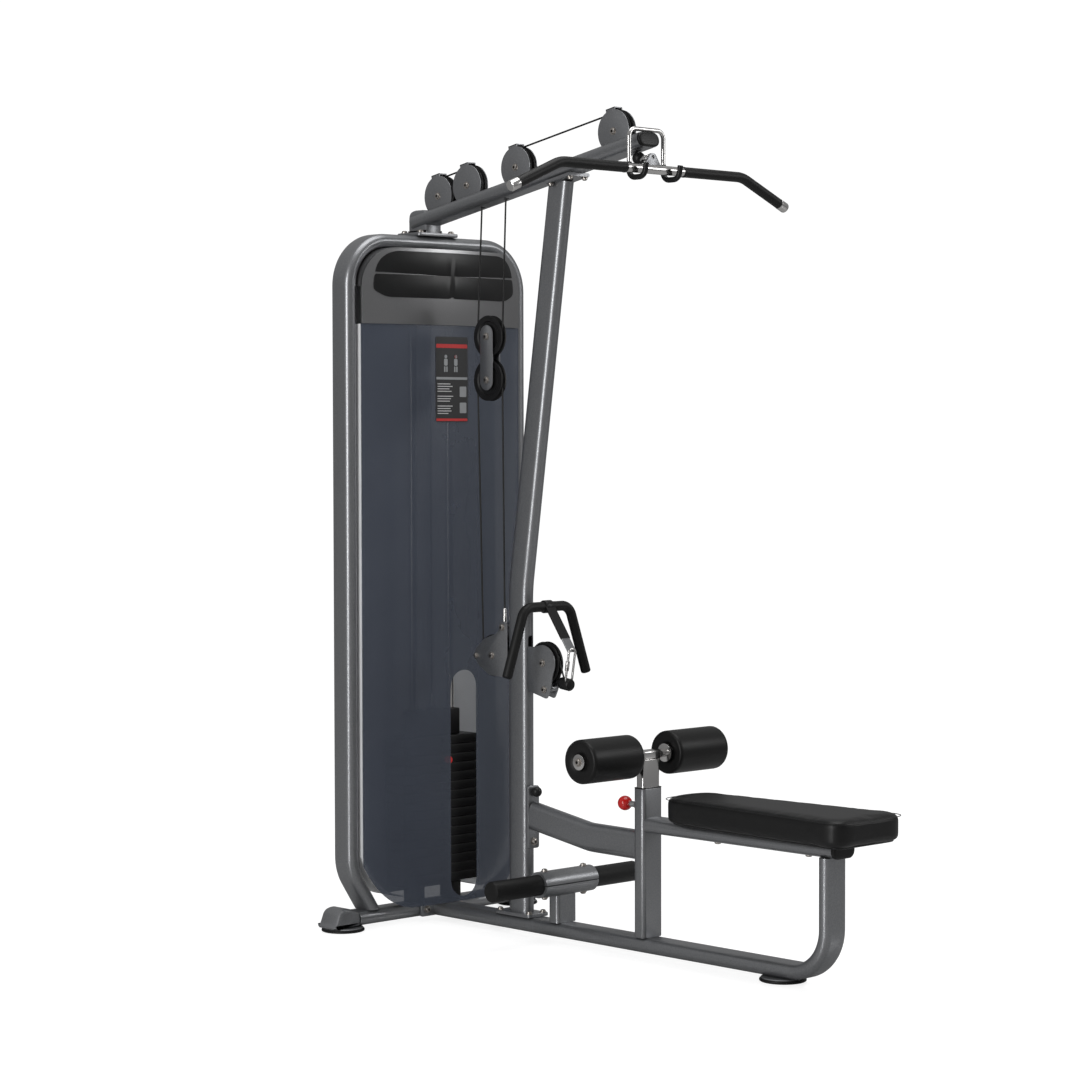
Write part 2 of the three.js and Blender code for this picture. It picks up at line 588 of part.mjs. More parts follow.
function makeUpperPulleys() {
  UPPER_PULLEYS.forEach((place, i) => {
    makePulley(`upper_pulley_${i + 1}`, place);
    const { x, z } = place;
    const cheeks = SIDES.flatMap(([, sign]) => [
      rod(GUARD.radius, "y", ...span(sign, GUARD.inner, GUARD.outer), x, z),
      rod(GUARD.head, "y", ...span(sign, GUARD.outer - 1, GUARD.headEnd), x, z, 3),
      block(x - 12, x + 12, ...span(sign, GUARD.inner, GUARD.outer), z + 50, z + GUARD.tabHigh),
    ]);
    const tab = block(x - 12, x + 12, -GUARD.outer, GUARD.outer, z + GUARD.tabLow, z + GUARD.tabHigh);
    piece(`pulley_guard_${i + 1}`, "black", union(...cheeks, tab, boltThrough(place, AXLE_BOLT, GUARD.outer)));
  });
}

function makeFloatBlock() {
  const height = FLOAT.high - FLOAT.low;
  const middle = (FLOAT.high + FLOAT.low) / 2;
  const wheels = { upper: { x: FLOAT.x, z: FLOAT.upperZ }, lower: { x: FLOAT.x, z: FLOAT.lowerZ } };
  const outline = () => roundedRect(FLOAT.width, height, FLOAT.width / 2, FLOAT.x, middle);
  const plates = SIDES.map(([, sign]) => prism(outline(), "y", ...span(sign, GUARD.inner, GUARD.outer)));
  const bolts = Object.values(wheels).map((place) => boltThrough(place, AXLE_BOLT, GUARD.headEnd));
  piece("float_plates", "frame", union(...plates, ...bolts));
  for (const [name, place] of Object.entries(wheels)) makePulley(`float_pulley_${name}`, place);
}

function cheekPlates(points) {
  const outline = polygon(points);
  return SIDES.map(([, sign]) => prism(outline, "y", ...span(sign, BRACKET.inner, BRACKET.outer)));
}

function makeLowBrackets() {
  const rearFace = UPRIGHT.x - TUBE.wide / 2 - GAP;
  const rear = [
    [199, 767],
    [215, 750],
    [320, 716],
    [rearFace, 716],
    [rearFace, 870],
    [312, 870],
    [222, 790],
  ];
  piece(
    "rear_low_bracket",
    "frame",
    union(
      ...cheekPlates(rear),
      boltThrough(REAR_PULLEY, AXLE_BOLT, GUARD.headEnd),
      boltThrough(KEEPER, KEEPER.radius, GUARD.headEnd - 2),
      boltThrough({ x: CABLE_END.boltX, z: CABLE_END.low }, AXLE_BOLT, GUARD.headEnd),
      rod(CABLE_END.radius, "z", CABLE_END.low, CABLE_END.high, CABLE_END.x, 0, 6),
    ),
  );
  makePulley("rear_low_pulley", REAR_PULLEY);

  const frontFace = UPRIGHT.x + TUBE.wide / 2 + GAP;
  const front = [
    [frontFace, 685],
    [498, 665],
    [512, 693],
    [516, 721],
    [524, 755],
    [472, 814],
    [frontFace, 807],
  ];
  piece(
    "front_low_bracket",
    "frame",
    union(
      ...cheekPlates(front),
      boltThrough(FRONT_PULLEY, AXLE_BOLT, GUARD.headEnd),
      boltThrough(STOP_BOLT, AXLE_BOLT, GUARD.headEnd),
      rod(GUIDE_ROLLER.radius, "y", -BRACKET.outer, BRACKET.outer, GUIDE_ROLLER.x, GUIDE_ROLLER.z, 6),
    ),
  );
  makePulley("front_low_pulley", FRONT_PULLEY);
}

// Where a cable leaves one wheel and meets the next. A turn of 1 is counter-clockwise on (X, Z).
function tangentLine(from, to) {
  const dx = to.x - from.x;
  const dz = to.z - from.z;
  const shift = to.turn * to.radius - from.turn * from.radius;
  const heading = Math.atan2(dz, dx) - Math.asin(shift / Math.hypot(dx, dz));
  const leave = (wheel) => [
    wheel.x + wheel.turn * wheel.radius * Math.sin(heading),
    wheel.z - wheel.turn * wheel.radius * Math.cos(heading),
  ];
  return { heading, start: leave(from), end: leave(to) };
}

// Stations of a cable from a point, round wheels, to a point.
function cableRoute(start, wheels, end) {
  const stops = [{ ...start, radius: 0, turn: 1 }, ...wheels, { ...end, radius: 0, turn: 1 }];
  const lines = stops.slice(1).map((stop, i) => tangentLine(stops[i], stop));
  const station = ([x, z], heading) => ({
    point: new THREE.Vector3(x, z, 0),
    tangent: new THREE.Vector3(Math.cos(heading), Math.sin(heading), 0),
  });
  const stations = [station(lines[0].start, lines[0].heading)];
  wheels.forEach((wheel, i) => {
    const arrive = lines[i].heading;
    const full = 2 * Math.PI;
    const turned = (((wheel.turn * (lines[i + 1].heading - arrive)) % full) + full) % full;
    const steps = Math.max(1, Math.round(turned / THREE.MathUtils.degToRad(15)));
    for (let k = 0; k <= steps; k++) {
      const heading = arrive + (wheel.turn * turned * k) / steps;
      const side = wheel.turn * wheel.radius;
      stations.push(station([wheel.x + side * Math.sin(heading), wheel.z - side * Math.cos(heading)], heading));
    }
  });
  stations.push(station(lines.at(-1).end, lines.at(-1).heading));
  return stations;
}

function makeCables(stackTop) {
  const wheel = ({ x, z }, turn) => ({ x, z, radius: PULLEY.cable, turn });
  const [first, second, third, fourth] = UPPER_PULLEYS;
  const upper = cableRoute(
    { x: LAT_BALL.x - 6, z: LAT_BALL.z + LAT_BALL.radius },
    [
      wheel(fourth, 1),
      wheel(third, 1),
      wheel({ x: FLOAT.x, z: FLOAT.upperZ }, -1),
      wheel(second, 1),
      wheel(first, 1),
    ],
    { x: 0, z: STACK_CABLE_TOP + GAP },
  );
  const section = () => disc(CABLE_RADIUS);
  piece("upper_cable", "black", sweep(section(), upper, "y", 4));
  piece("stack_cable", "black", rod(CABLE_RADIUS, "z", stackTop + GAP, STACK_CABLE_TOP, 0, 0, 4));
  const lower = cableRoute(
    { x: CABLE_END.x, z: CABLE_END.high + GAP },
    [wheel({ x: FLOAT.x, z: FLOAT.lowerZ }, 1), wheel(REAR_PULLEY, 1), wheel(FRONT_PULLEY, -1)],
    { x: ROW_BALL.x - 8, z: ROW_BALL.z + ROW_BALL.radius },
  );
  piece("lower_cable", "black", sweep(section(), lower, "y", 4));
}

// A stretched ring of round rod from one end to the other, standing across the plane of the cables.
function linkRing(x0, z0, x1, z1, halfWidth, radius) {
  const length = Math.hypot(x1 - x0, z1 - z0);
  const half = () => {
    const near = length / 2 - 1;
    const corners = [[near, halfWidth], [length, halfWidth], [length, -halfWidth], [near, -halfWidth]];
    return sweep(disc(radius), bent(corners, halfWidth - 0.01, 45), "z", 3);
  };
  const flip = new THREE.Matrix4().makeRotationZ(Math.PI).setPosition(length, 0, 0);
  const turn = new THREE.Matrix4().makeRotationY(-Math.atan2(z1 - z0, x1 - x0)).setPosition(x0, 0, z0);
  return union(half(), half().transform(flip.elements)).transform(turn.elements);
}

function makeLatBar() {
  const { x, z, radius, bendY, endY, endZ } = LAT_BAR;
  const corners = [[-endY, endZ], [-bendY, z], [bendY, z], [endY, endZ]];
  const bar = sweep(disc(radius), bent(corners, 100, 12), "x", 4).translate([x, 0, 0]);
  const eye = { x: 877, z: 2103 };
  const lug = union(
    rod(10, "y", -4, 4, eye.x, eye.z, 6),
    prism(polygon([[eye.x - 5, eye.z - 8], [x, z - 6], [x, z + 9], [eye.x, eye.z + 9]]), "y", -4, 4),
  );
  piece("lat_bar", "chrome", union(bar, cut(lug, rod(5, "y", -FAR, FAR, eye.x, eye.z, 6))));
  const dx = eye.x - LAT_BALL.x;
  const dz = eye.z - LAT_BALL.z;
  const reach = (LAT_BALL.radius + 4) / Math.hypot(dx, dz);
  const ring = linkRing(LAT_BALL.x + dx * reach, LAT_BALL.z + dz * reach, eye.x, eye.z, 9, 3.2);
  piece("lat_carabiner", "chrome", ring);
  const cable = rod(CABLE_RADIUS + 1, "z", LAT_BALL.z + 8, FAR, LAT_BALL.x - 6, 0, 4);
  piece("lat_ball_stop", "black", cut(ball(LAT_BALL.x, 0, LAT_BALL.z, LAT_BALL.radius), cable));
}

function makeBarHolder() {
  const { x, y, radius, top, low, tipX, tipZ, bend } = HOLDER;
  const corners = [
    [tipX, -y, tipZ],
    [tipX - 6, -y, low],
    [x, -y, low],
    [x, -y, top],
    [x, y, top],
    [x, y, low],
    [tipX - 6, y, low],
    [tipX, y, tipZ],
  ];
  piece("bar_holder", "chrome", sweep(disc(radius), bent(corners, bend, 30), "z", 3));
}

function makeRowHandle() {
  const { x, radius, top, topHalf, lowHalf, low } = ROW_HANDLE;
  const corners = [[-lowHalf, low], [-topHalf, top], [topHalf, top], [lowHalf, low]];
  const grip = sweep(disc(radius), bent(corners, 40, 24), "x", 4).translate([x, 0, 0]);
  const strap = straight(roundedRect(STRAP.wide, STRAP.thick, 2), STRAP.x, STRAP.z, STRAP.endX, STRAP.endZ, "y");
  piece("row_handle", "black", union(grip, strap));
  const ringFoot = { x: ROW_BALL.x + 7, z: ROW_BALL.z + ROW_BALL.radius - 3 };
  const ring = linkRing(ringFoot.x, ringFoot.z, STRAP.endX + 2, STRAP.endZ - 6, 10, 3.5);
  const cable = rod(CABLE_RADIUS + 1, "z", ROW_BALL.z + 10, FAR, ROW_BALL.x - 8, 0, 4);
  piece("row_link", "chrome", union(cut(ball(ROW_BALL.x, 0, ROW_BALL.z, ROW_BALL.radius), cable), ring));
}

makeBase();
makeTowerLoop();
makeBoom();
makeUpright();
makeBrace();
makeKneeRest();
makeSeat();
makeFootBar();
makeCovers();
makeCables(makeStack());
makeUpperPulleys();
makeFloatBlock();
makeLowBrackets();
makeLatBar();
makeBarHolder();
makeRowHandle();

const bounds = new THREE.Box3().setFromObject(machine);
machine.position.x = -(bounds.min.x + bounds.max.x) / 2;

export default machine;
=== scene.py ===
"""The looks of a lat pulldown and low row machine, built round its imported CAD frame.

Sizes are millimetres measured as in the CAD model: X from the weight tower's centre plane towards the seat,
Y from the machine's centre plane, Z from the floor. place() turns them into metres in the frame.
"""

import math

import bmesh
import bpy
import numpy as np
from mathutils import Matrix, Vector


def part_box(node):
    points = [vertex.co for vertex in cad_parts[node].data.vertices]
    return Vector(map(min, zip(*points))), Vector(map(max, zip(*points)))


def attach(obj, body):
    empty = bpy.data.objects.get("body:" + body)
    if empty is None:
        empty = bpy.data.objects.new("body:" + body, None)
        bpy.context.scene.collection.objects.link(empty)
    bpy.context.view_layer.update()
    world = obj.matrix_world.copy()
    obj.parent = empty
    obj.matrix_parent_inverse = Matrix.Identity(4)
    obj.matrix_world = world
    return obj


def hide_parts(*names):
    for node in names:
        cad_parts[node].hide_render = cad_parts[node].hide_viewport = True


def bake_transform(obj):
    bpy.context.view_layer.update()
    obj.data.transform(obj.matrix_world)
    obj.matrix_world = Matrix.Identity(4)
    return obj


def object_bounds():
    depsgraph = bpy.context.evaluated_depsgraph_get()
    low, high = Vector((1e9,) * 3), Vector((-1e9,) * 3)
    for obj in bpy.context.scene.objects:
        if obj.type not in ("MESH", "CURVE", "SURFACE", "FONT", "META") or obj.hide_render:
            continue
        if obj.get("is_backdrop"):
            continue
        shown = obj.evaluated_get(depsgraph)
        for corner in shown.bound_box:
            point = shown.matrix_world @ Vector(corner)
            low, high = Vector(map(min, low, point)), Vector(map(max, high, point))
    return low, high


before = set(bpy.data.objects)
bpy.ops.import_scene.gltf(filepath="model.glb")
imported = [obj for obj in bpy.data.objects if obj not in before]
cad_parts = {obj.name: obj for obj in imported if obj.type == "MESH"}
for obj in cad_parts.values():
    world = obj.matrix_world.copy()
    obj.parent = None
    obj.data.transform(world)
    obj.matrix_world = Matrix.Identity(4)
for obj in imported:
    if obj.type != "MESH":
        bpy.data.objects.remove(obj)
CAD_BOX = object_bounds()

# ------------------------------------------------------------------ sizes
MM = 0.001
TOWER_X = sum(corner.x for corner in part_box("guide_rod_left")) / 2

TUBE_WIDE, TUBE_THIN, TUBE_ROUND = 80, 40, 19.9
FLOOR_TUBE_Z, FLOOR_TUBE_TOP = 32, 52
ON_FLOOR_TUBE = 52.3
FOOT_Y, FRONT_FOOT_X = 336, 1351
LOOP_Y, LOOP_TOP, LOOP_BEND = 322, 1942, 130
LOOP_KNEE_Z, LOOP_FOOT_ANGLE = 168.5, 33
LEG_X, LEG_BEND, LEG_TOP = 1515, 120, 335
UPRIGHT_X, UPRIGHT_BEND_Z, UPRIGHT_LEAN, UPRIGHT_TOP = 378, 968, 0.1475, 2094
BOOM_REAR, BOOM_FRONT, BOOM_HEIGHT, BOOM_SLOPE = -45, 870, 2012.6, 0.1876
BOOM_ANGLE = math.atan(BOOM_SLOPE)
KNEE_X, KNEE_TOP, AXLE_Z = 871, 452, 541
LOCK_PIN_Z, KNEE_HOLE_PITCH = 403, 25
RAIL_Z, RAIL_FRONT = 355, 1549
ROLLER_IN, ROLLER_OUT, ROLLER_R = 68, 257, 58.5

PULLEY_R, PULLEY_CABLE_R, PULLEY_WIDTH = 59, 51, 18
UPPER_PULLEYS = [(51, 2076), (173, 2099), (374, 2136), (757, 2206)]
FLOAT_X, FLOAT_HIGH, FLOAT_LOW = 253, 1671, 1549
REAR_PULLEY = (274, 774)
FRONT_PULLEY = (480, 764)
CABLE_R = 2.6
STACK_SPLIT = 1500
LAT_BALL = (838, 2129, 17.5)
ROW_BALL = (557, 710, 20)
CABLE_END = (311, 909)

PANEL_EDGE, PANEL_MID, PANEL_HALF, PANEL_LOW, PANEL_SPLIT = 50, 92, 300, 53, 1707
BOW_R = (PANEL_HALF**2 + (PANEL_MID - PANEL_EDGE) ** 2) / (2 * (PANEL_MID - PANEL_EDGE))
COVER_TOP = LOOP_TOP - TUBE_THIN / 2 - 0.3
COVER_CORNER = LOOP_BEND - TUBE_THIN / 2
SLOT_Y, SLOT_WIDTH, SLOT_Z, SLOT_HEIGHT, SLOT_ROUND = 44, 106, 392.5, 653, 50

ROD_Y = 70
PLATE_WIDE, PLATE_DEEP, PLATE_THICK = 285, 80, 26.5
STACK_LOW = 102.6
RESTING, LIFTED = 13, 3
LIFTED_LOW = STACK_LOW + RESTING * PLATE_THICK + 0.3
HEAD_LOW = LIFTED_LOW + LIFTED * PLATE_THICK + 0.3
HEAD_HIGH = HEAD_LOW + 85
PIN_Y = 3
PIN_Z = LIFTED_LOW + PLATE_THICK / 2

SEAT_REAR, SEAT_FRONT, SEAT_LOW, SEAT_HIGH = 982, 1660, 375.3, 450
SEAT_REAR_HALF, SEAT_FRONT_HALF = 93, 146

EYE = Vector((6142.2, -5425.3, 1400))
YAW, PITCH, ROLL = math.radians(46.35), math.radians(2.16), math.radians(-0.12)
LENS, SENSOR = 94.67, 36

X_AXIS, Y_AXIS, Z_AXIS = Vector((1, 0, 0)), Vector((0, 1, 0)), Vector((0, 0, 1))
SIDES = (("left", -1), ("right", 1))


def place(x, y, z):
    return Vector((x * MM + TOWER_X, y * MM, z * MM))


def boom_z(x):
    return BOOM_HEIGHT + BOOM_SLOPE * x


# ------------------------------------------------------------------ camera
def make_camera():
    back = Vector((math.sin(YAW) * math.cos(PITCH), -math.cos(YAW) * math.cos(PITCH), math.sin(PITCH)))
    level = Vector((math.cos(YAW), math.sin(YAW), 0))
    up = back.cross(level)
    right = math.cos(ROLL) * level + math.sin(ROLL) * up
    top = -math.sin(ROLL) * level + math.cos(ROLL) * up
    camera = bpy.data.objects.new("camera", bpy.data.cameras.new("camera"))
    camera.data.lens = LENS
    camera.data.sensor_width = SENSOR
    camera.data.clip_end = 100
    camera.matrix_world = Matrix.Translation(place(*EYE)) @ Matrix((right, top, back)).transposed().to_4x4()
    bpy.context.scene.collection.objects.link(camera)
    bpy.context.scene.camera = camera


# ------------------------------------------------------------------ materials
def shader(name, color, roughness, metallic=0.0, **sockets):
    """A Principled material; the sockets are set by name, with _ for each space."""
    material = bpy.data.materials.new(name)
    material.use_nodes = True
    principled = material.node_tree.nodes["Principled BSDF"]
    principled.inputs["Base Color"].default_value = (*color, 1)
    principled.inputs["Roughness"].default_value = roughness
    principled.inputs["Metallic"].default_value = metallic
    for key, value in sockets.items():
        principled.inputs[key.replace("_", " ")].default_value = value
    return material


def node(material, kind, **values):
    made = material.node_tree.nodes.new(kind)
    for key, value in values.items():
        if key in made.inputs:
            made.inputs[key].default_value = value
        else:
            setattr(made, key, value)
    return made


def wire(material, source, output, target, socket):
    material.node_tree.links.new(source.outputs[output], target.inputs[socket])


def mottle(material, color, scale, spread=0.08, detail=4.0):
    """Slow variation of the base colour, at scale per metre."""
    principled = material.node_tree.nodes["Principled BSDF"]
    where = node(material, "ShaderNodeTexCoord")
    noise = node(material, "ShaderNodeTexNoise", Scale=scale, Detail=detail)
    ramp = node(material, "ShaderNodeValToRGB")
    ramp.color_ramp.elements[0].position = 0.3
    ramp.color_ramp.elements[1].position = 0.7
    ramp.color_ramp.elements[0].color = (*[c * (1 - spread) for c in color], 1)
    ramp.color_ramp.elements[1].color = (*[min(1, c * (1 + spread)) for c in color], 1)
    wire(material, where, "Object", noise, "Vector")
    wire(material, noise, "Fac", ramp, "Fac")
    wire(material, ramp, "Color", principled, "Base Color")


def roughen(material, low, high, scale):
    """Roughness that wanders between two values."""
    principled = material.node_tree.nodes["Principled BSDF"]
    where = node(material, "ShaderNodeTexCoord")
    noise = node(material, "ShaderNodeTexNoise", Scale=scale, Detail=3.0)
    spread = node(material, "ShaderNodeMapRange")
    spread.inputs["To Min"].default_value = low
    spread.inputs["To Max"].default_value = high
    wire(material, where, "Object", noise, "Vector")
    wire(material, noise, "Fac", spread, "Value")
    wire(material, spread, "Result", principled, "Roughness")


def bump(material, texture, output, strength, distance):
    principled = material.node_tree.nodes["Principled BSDF"]
    where = node(material, "ShaderNodeTexCoord")
    lift = node(material, "ShaderNodeBump", Strength=strength, Distance=distance)
    wire(material, where, "Object", texture, "Vector")
    wire(material, texture, output, lift, "Height")
    wire(material, lift, "Normal", principled, "Normal")


def noise_bump(material, scale, strength, distance=0.0004, detail=2.0):
    texture = node(material, "ShaderNodeTexNoise", Scale=scale, Detail=detail)
    bump(material, texture, "Fac", strength, distance)


def powder_coat():
    color = (0.27, 0.275, 0.285)
    material = shader("powder_coat", color, 0.34, 0.85)
    mottle(material, color, 260, 0.10)
    roughen(material, 0.30, 0.38, 14)
    noise_bump(material, 900, 0.08)
    return material


def polished_chrome():
    color = (0.60, 0.59, 0.58)
    material = shader("polished_chrome", color, 0.16, 1.0)
    mottle(material, color, 30, 0.03)
    roughen(material, 0.12, 0.2, 40)
    return material


def zinc():
    color = (0.46, 0.43, 0.40)
    material = shader("zinc_plate", color, 0.28, 1.0)
    mottle(material, color, 300, 0.08)
    noise_bump(material, 600, 0.06)
    return material


def black_plastic():
    color = (0.006, 0.006, 0.0062)
    material = shader("black_plastic", color, 0.4, Specular_IOR_Level=0.3)
    mottle(material, color, 120, 0.15)
    noise_bump(material, 1400, 0.12)
    return material


def gloss_black():
    color = (0.010, 0.010, 0.0102)
    material = shader("gloss_black", color, 0.3, Specular_IOR_Level=0.3)
    mottle(material, color, 20, 0.1)
    roughen(material, 0.26, 0.36, 12)
    return material


def black_rubber():
    color = (0.005, 0.005, 0.005)
    material = shader("black_rubber", color, 0.5, Specular_IOR_Level=0.3)
    mottle(material, color, 160, 0.2)
    noise_bump(material, 700, 0.25)
    return material


def foam():
    color = (0.0035, 0.0035, 0.0035)
    material = shader("foam_sleeve", color, 0.42, Specular_IOR_Level=0.3)
    mottle(material, color, 200, 0.2)
    texture = node(material, "ShaderNodeTexVoronoi", Scale=520.0)
    bump(material, texture, "Distance", 0.18, 0.0004)
    return material


def vinyl():
    color = (0.0042, 0.0042, 0.0043)
    material = shader("black_vinyl", color, 0.42, Specular_IOR_Level=0.35)
    mottle(material, color, 60, 0.15)
    texture = node(material, "ShaderNodeTexVoronoi", Scale=430.0)
    texture.feature = "SMOOTH_F1"
    bump(material, texture, "Distance", 0.3, 0.0005)
    return material


def clear_cover():
    color = (0.072, 0.083, 0.108)
    material = shader("clear_cover", color, 0.3, Alpha=0.76, Specular_IOR_Level=0.15)
    mottle(material, color, 6, 0.04)
    return material


def silver_shell():
    color = (0.27, 0.27, 0.275)
    material = shader("silver_shell", color, 0.3, 0.85)
    mottle(material, color, 500, 0.05)
    noise_bump(material, 1200, 0.04)
    return material


def rear_panel():
    color = (0.55, 0.56, 0.58)
    material = shader("rear_panel", color, 0.5)
    mottle(material, color, 9, 0.05)
    noise_bump(material, 900, 0.1)
    return material


def pale_strip_painted_light():
    # Near-white base: the strips' own pale plastic, made lighter still as painted light for the side light
    # falling on their -Y faces.
    color = (0.86, 0.87, 0.88)
    material = shader("pale_strip_painted_light", color, 0.4)
    mottle(material, color, 12, 0.05)
    return material


def plate_paint():
    color = (0.006, 0.006, 0.0063)
    material = shader("plate_paint", color, 0.4, Specular_IOR_Level=0.3)
    mottle(material, color, 220, 0.2)
    noise_bump(material, 800, 0.2)
    return material


def red_plastic():
    color = (0.62, 0.010, 0.008)
    material = shader("red_plastic", color, 0.22, Coat_Weight=0.3, Coat_Roughness=0.08)
    mottle(material, color, 40, 0.06)
    return material


def placard_paint(name, color):
    material = shader(name, color, 0.4)
    mottle(material, color, 80, 0.05)
    return material


FRAME = powder_coat()
CHROME = polished_chrome()
ZINC = zinc()
PLASTIC = black_plastic()
GLOSS = gloss_black()
RUBBER = black_rubber()
FOAM = foam()
VINYL = vinyl()
CLEAR = clear_cover()
SILVER = silver_shell()
PANEL = rear_panel()
PALE_STRIP_PAINTED_LIGHT = pale_strip_painted_light()
PLATES = plate_paint()
RED = red_plastic()


# ------------------------------------------------------------------ mesh building
def obj_from(name, verts, faces, angle=35):
    data = bpy.data.meshes.new(name)
    data.from_pydata([place(*v) for v in verts], [], faces)
    tidy(data, angle)
    made = bpy.data.objects.new(name, data)
    bpy.context.scene.collection.objects.link(made)
    return made


def tidy(data, angle=35):
    """Weld, face outwards and smooth everything but edges sharper than the angle."""
    mesh = bmesh.new()
    mesh.from_mesh(data)
    bmesh.ops.remove_doubles(mesh, verts=mesh.verts, dist=1e-6)
    bmesh.ops.recalc_face_normals(mesh, faces=mesh.faces)
    mesh.to_mesh(data)
    mesh.free()
    data.polygons.foreach_set("use_smooth", [True] * len(data.polygons))
    data.set_sharp_from_angle(angle=math.radians(angle))
    data.update()


def arc(cx, cy, radius, start, end, steps):
    """Points from one angle to another, in degrees."""
    angles = [math.radians(start + (end - start) * i / steps) for i in range(steps + 1)]
    return [(cx + radius * math.cos(a), cy + radius * math.sin(a)) for a in angles]


def circle(radius, cx=0.0, cy=0.0, steps=32):
    return arc(cx, cy, radius, 0, 360, steps)[:-1]


def oval(width, height, radius, cx=0.0, cy=0.0, steps=8):
    """A rectangle with round corners."""
    w, h = width / 2 - radius, height / 2 - radius
    points = []
    for sx, sy, start in ((1, 1, 0), (-1, 1, 90), (-1, -1, 180), (1, -1, 270)):
        points += arc(cx + sx * w, cy + sy * h, radius, start, start + 90, steps)
    return points


def quadratic(a, b, c, steps=8):
    ts = [i / steps for i in range(steps + 1)]
    return [tuple((1 - t) ** 2 * p + 2 * t * (1 - t) * q + t * t * r for p, q, r in zip(a, b, c)) for t in ts]


def rounded(points, radius, steps=5):
    """A closed outline with each corner rounded."""
    result = []
    count = len(points)
    for i in range(count):
        here = Vector(points[i])
        before = Vector(points[i - 1]) - here
        after = Vector(points[(i + 1) % count]) - here
        reach = min(radius, before.length * 0.45, after.length * 0.45)
        start = here + before.normalized() * reach
        end = here + after.normalized() * reach
        result += quadratic(start, here, end, steps)
    return result


ON_AXIS = {
    "x": lambda u, v, w: (w, u, v),
    "y": lambda u, v, w: (u, w, v),
    "z": lambda u, v, w: (u, v, w),
}


def prism(name, outline, axis, low, high, bevel=0.0, angle=35):
    """An outline on (Y, Z), (X, Z) or (X, Y), pushed along an axis, with its rim rounded by bevel."""
    if bevel:
        layers = [(low, 1), (low + bevel * 0.3, 0.3), (low + bevel, 0), (high - bevel, 0)]
        layers += [(high - bevel * 0.3, 0.3), (high, 1)]
    else:
        layers = [(low, 0), (high, 0)]
    rings = [(inset(outline, bevel * share) if bevel else outline, w) for w, share in layers]
    count = len(outline)
    verts = [ON_AXIS[axis](u, v, w) for ring, w in rings for u, v in ring]
    faces = []
    for k in range(len(rings) - 1):
        for i in range(count):
            j = (i + 1) % count
            faces.append((k * count + i, k * count + j, (k + 1) * count + j, (k + 1) * count + i))
    faces.append(tuple(range(count))[::-1])
    faces.append(tuple((len(rings) - 1) * count + i for i in range(count)))
    return obj_from(name, verts, faces, angle)


def inset(outline, distance):
    """The outline moved inwards, by its corner normals."""
    if distance == 0:
        return outline
    points = [Vector(p) for p in outline]
    area = sum(a.x * b.y - b.x * a.y for a, b in zip(points, points[1:] + points[:1]))
    turn = 1 if area > 0 else -1
    moved = []
    for i, here in enumerate(points):
        before = (here - points[i - 1]).normalized()
        after = (points[(i + 1) % len(points)] - here).normalized()
        along = (before + after).normalized() if (before + after).length > 1e-6 else after
        moved.append(here + turn * distance * Vector((-along.y, along.x)))
    return [tuple(p) for p in moved]


def bent(corners, radius, step=6):
    """Stations (point, tangent) of a line through corners, each rounded, in steps of about step degrees."""
    points = [Vector(c) for c in corners]
    heads = [(b - a).normalized() for a, b in zip(points, points[1:])]
    stations = [(points[0], heads[0])]
    for i in range(1, len(points) - 1):
        before, after = heads[i - 1], heads[i]
        angle = before.angle(after)
        start = points[i] - before * radius * math.tan(angle / 2)
        hinge = before.cross(after).normalized()
        inward = hinge.cross(before)
        steps = max(2, round(math.degrees(angle) / step))
        for k in range(steps + 1):
            turn = Matrix.Rotation(angle * k / steps, 3, hinge)
            stations.append((start + inward * radius - turn @ inward * radius, turn @ before))
    stations.append((points[-1], heads[-1]))
    return stations


def sweep(name, section, stations, side=None, angle=35, round_ends=0.0):
    """A section swept along stations: its x lies along side, or is carried along a path that isn't flat."""
    across = side.copy() if side else stations[0][1].orthogonal().normalized()
    rings = []
    for point, tangent in stations:
        across = (across - tangent * across.dot(tangent)).normalized()
        other = tangent.cross(across)
        rings.append([point + across * u + other * v for u, v in section])
    if round_ends:
        rings = [*cap_rings(section, stations[0], side, -round_ends), *rings]
        rings = [*rings, *reversed(cap_rings(section, stations[-1], side, round_ends))]
    count = len(section)
    verts = [tuple(v) for ring in rings for v in ring]
    faces = []
    for k in range(len(rings) - 1):
        for i in range(count):
            j = (i + 1) % count
            faces.append((k * count + i, k * count + j, (k + 1) * count + j, (k + 1) * count + i))
    faces.append(tuple(range(count))[::-1])
    faces.append(tuple((len(rings) - 1) * count + i for i in range(count)))
    return obj_from(name, verts, faces, angle)


def cap_rings(section, station, side, reach):
    """Shrinking rings that round a sweep's end off, outermost first."""
    point, tangent = station
    across = side.copy() if side else tangent.orthogonal().normalized()
    across = (across - tangent * across.dot(tangent)).normalized()
    other = tangent.cross(across)
    rings = []
    for share in (0.0, 0.3, 0.6, 0.85):
        shrink = 1 - 0.3 * (1 - share) ** 2
        ahead = point + tangent * reach * (1 - share**2)
        rings.append([ahead + across * u * shrink + other * v * shrink for u, v in section])
    return rings


def lathe(name, profile, centre, axis, steps=40, angle=30):
    """A profile of (radius, distance along the axis) turned about the axis through centre."""
    axis = axis.normalized()
    across = axis.orthogonal().normalized()
    other = axis.cross(across)
    verts = []
    for k in range(steps):
        a = 2 * math.pi * k / steps
        spoke = across * math.cos(a) + other * math.sin(a)
        verts += [tuple(Vector(centre) + spoke * max(r, 1e-4) + axis * d) for r, d in profile]
    n = len(profile)
    faces = []
    for k in range(steps):
        m = (k + 1) % steps
        faces += [(k * n + i, m * n + i, m * n + i + 1, k * n + i + 1) for i in range(n - 1)]
    closed = profile[0] == profile[-1]
    if not closed and profile[0][0] > 0.01:
        faces.append(tuple(k * n for k in range(steps)))
    if not closed and profile[-1][0] > 0.01:
        faces.append(tuple(k * n + n - 1 for k in range(steps)))
    return obj_from(name, verts, faces, angle)


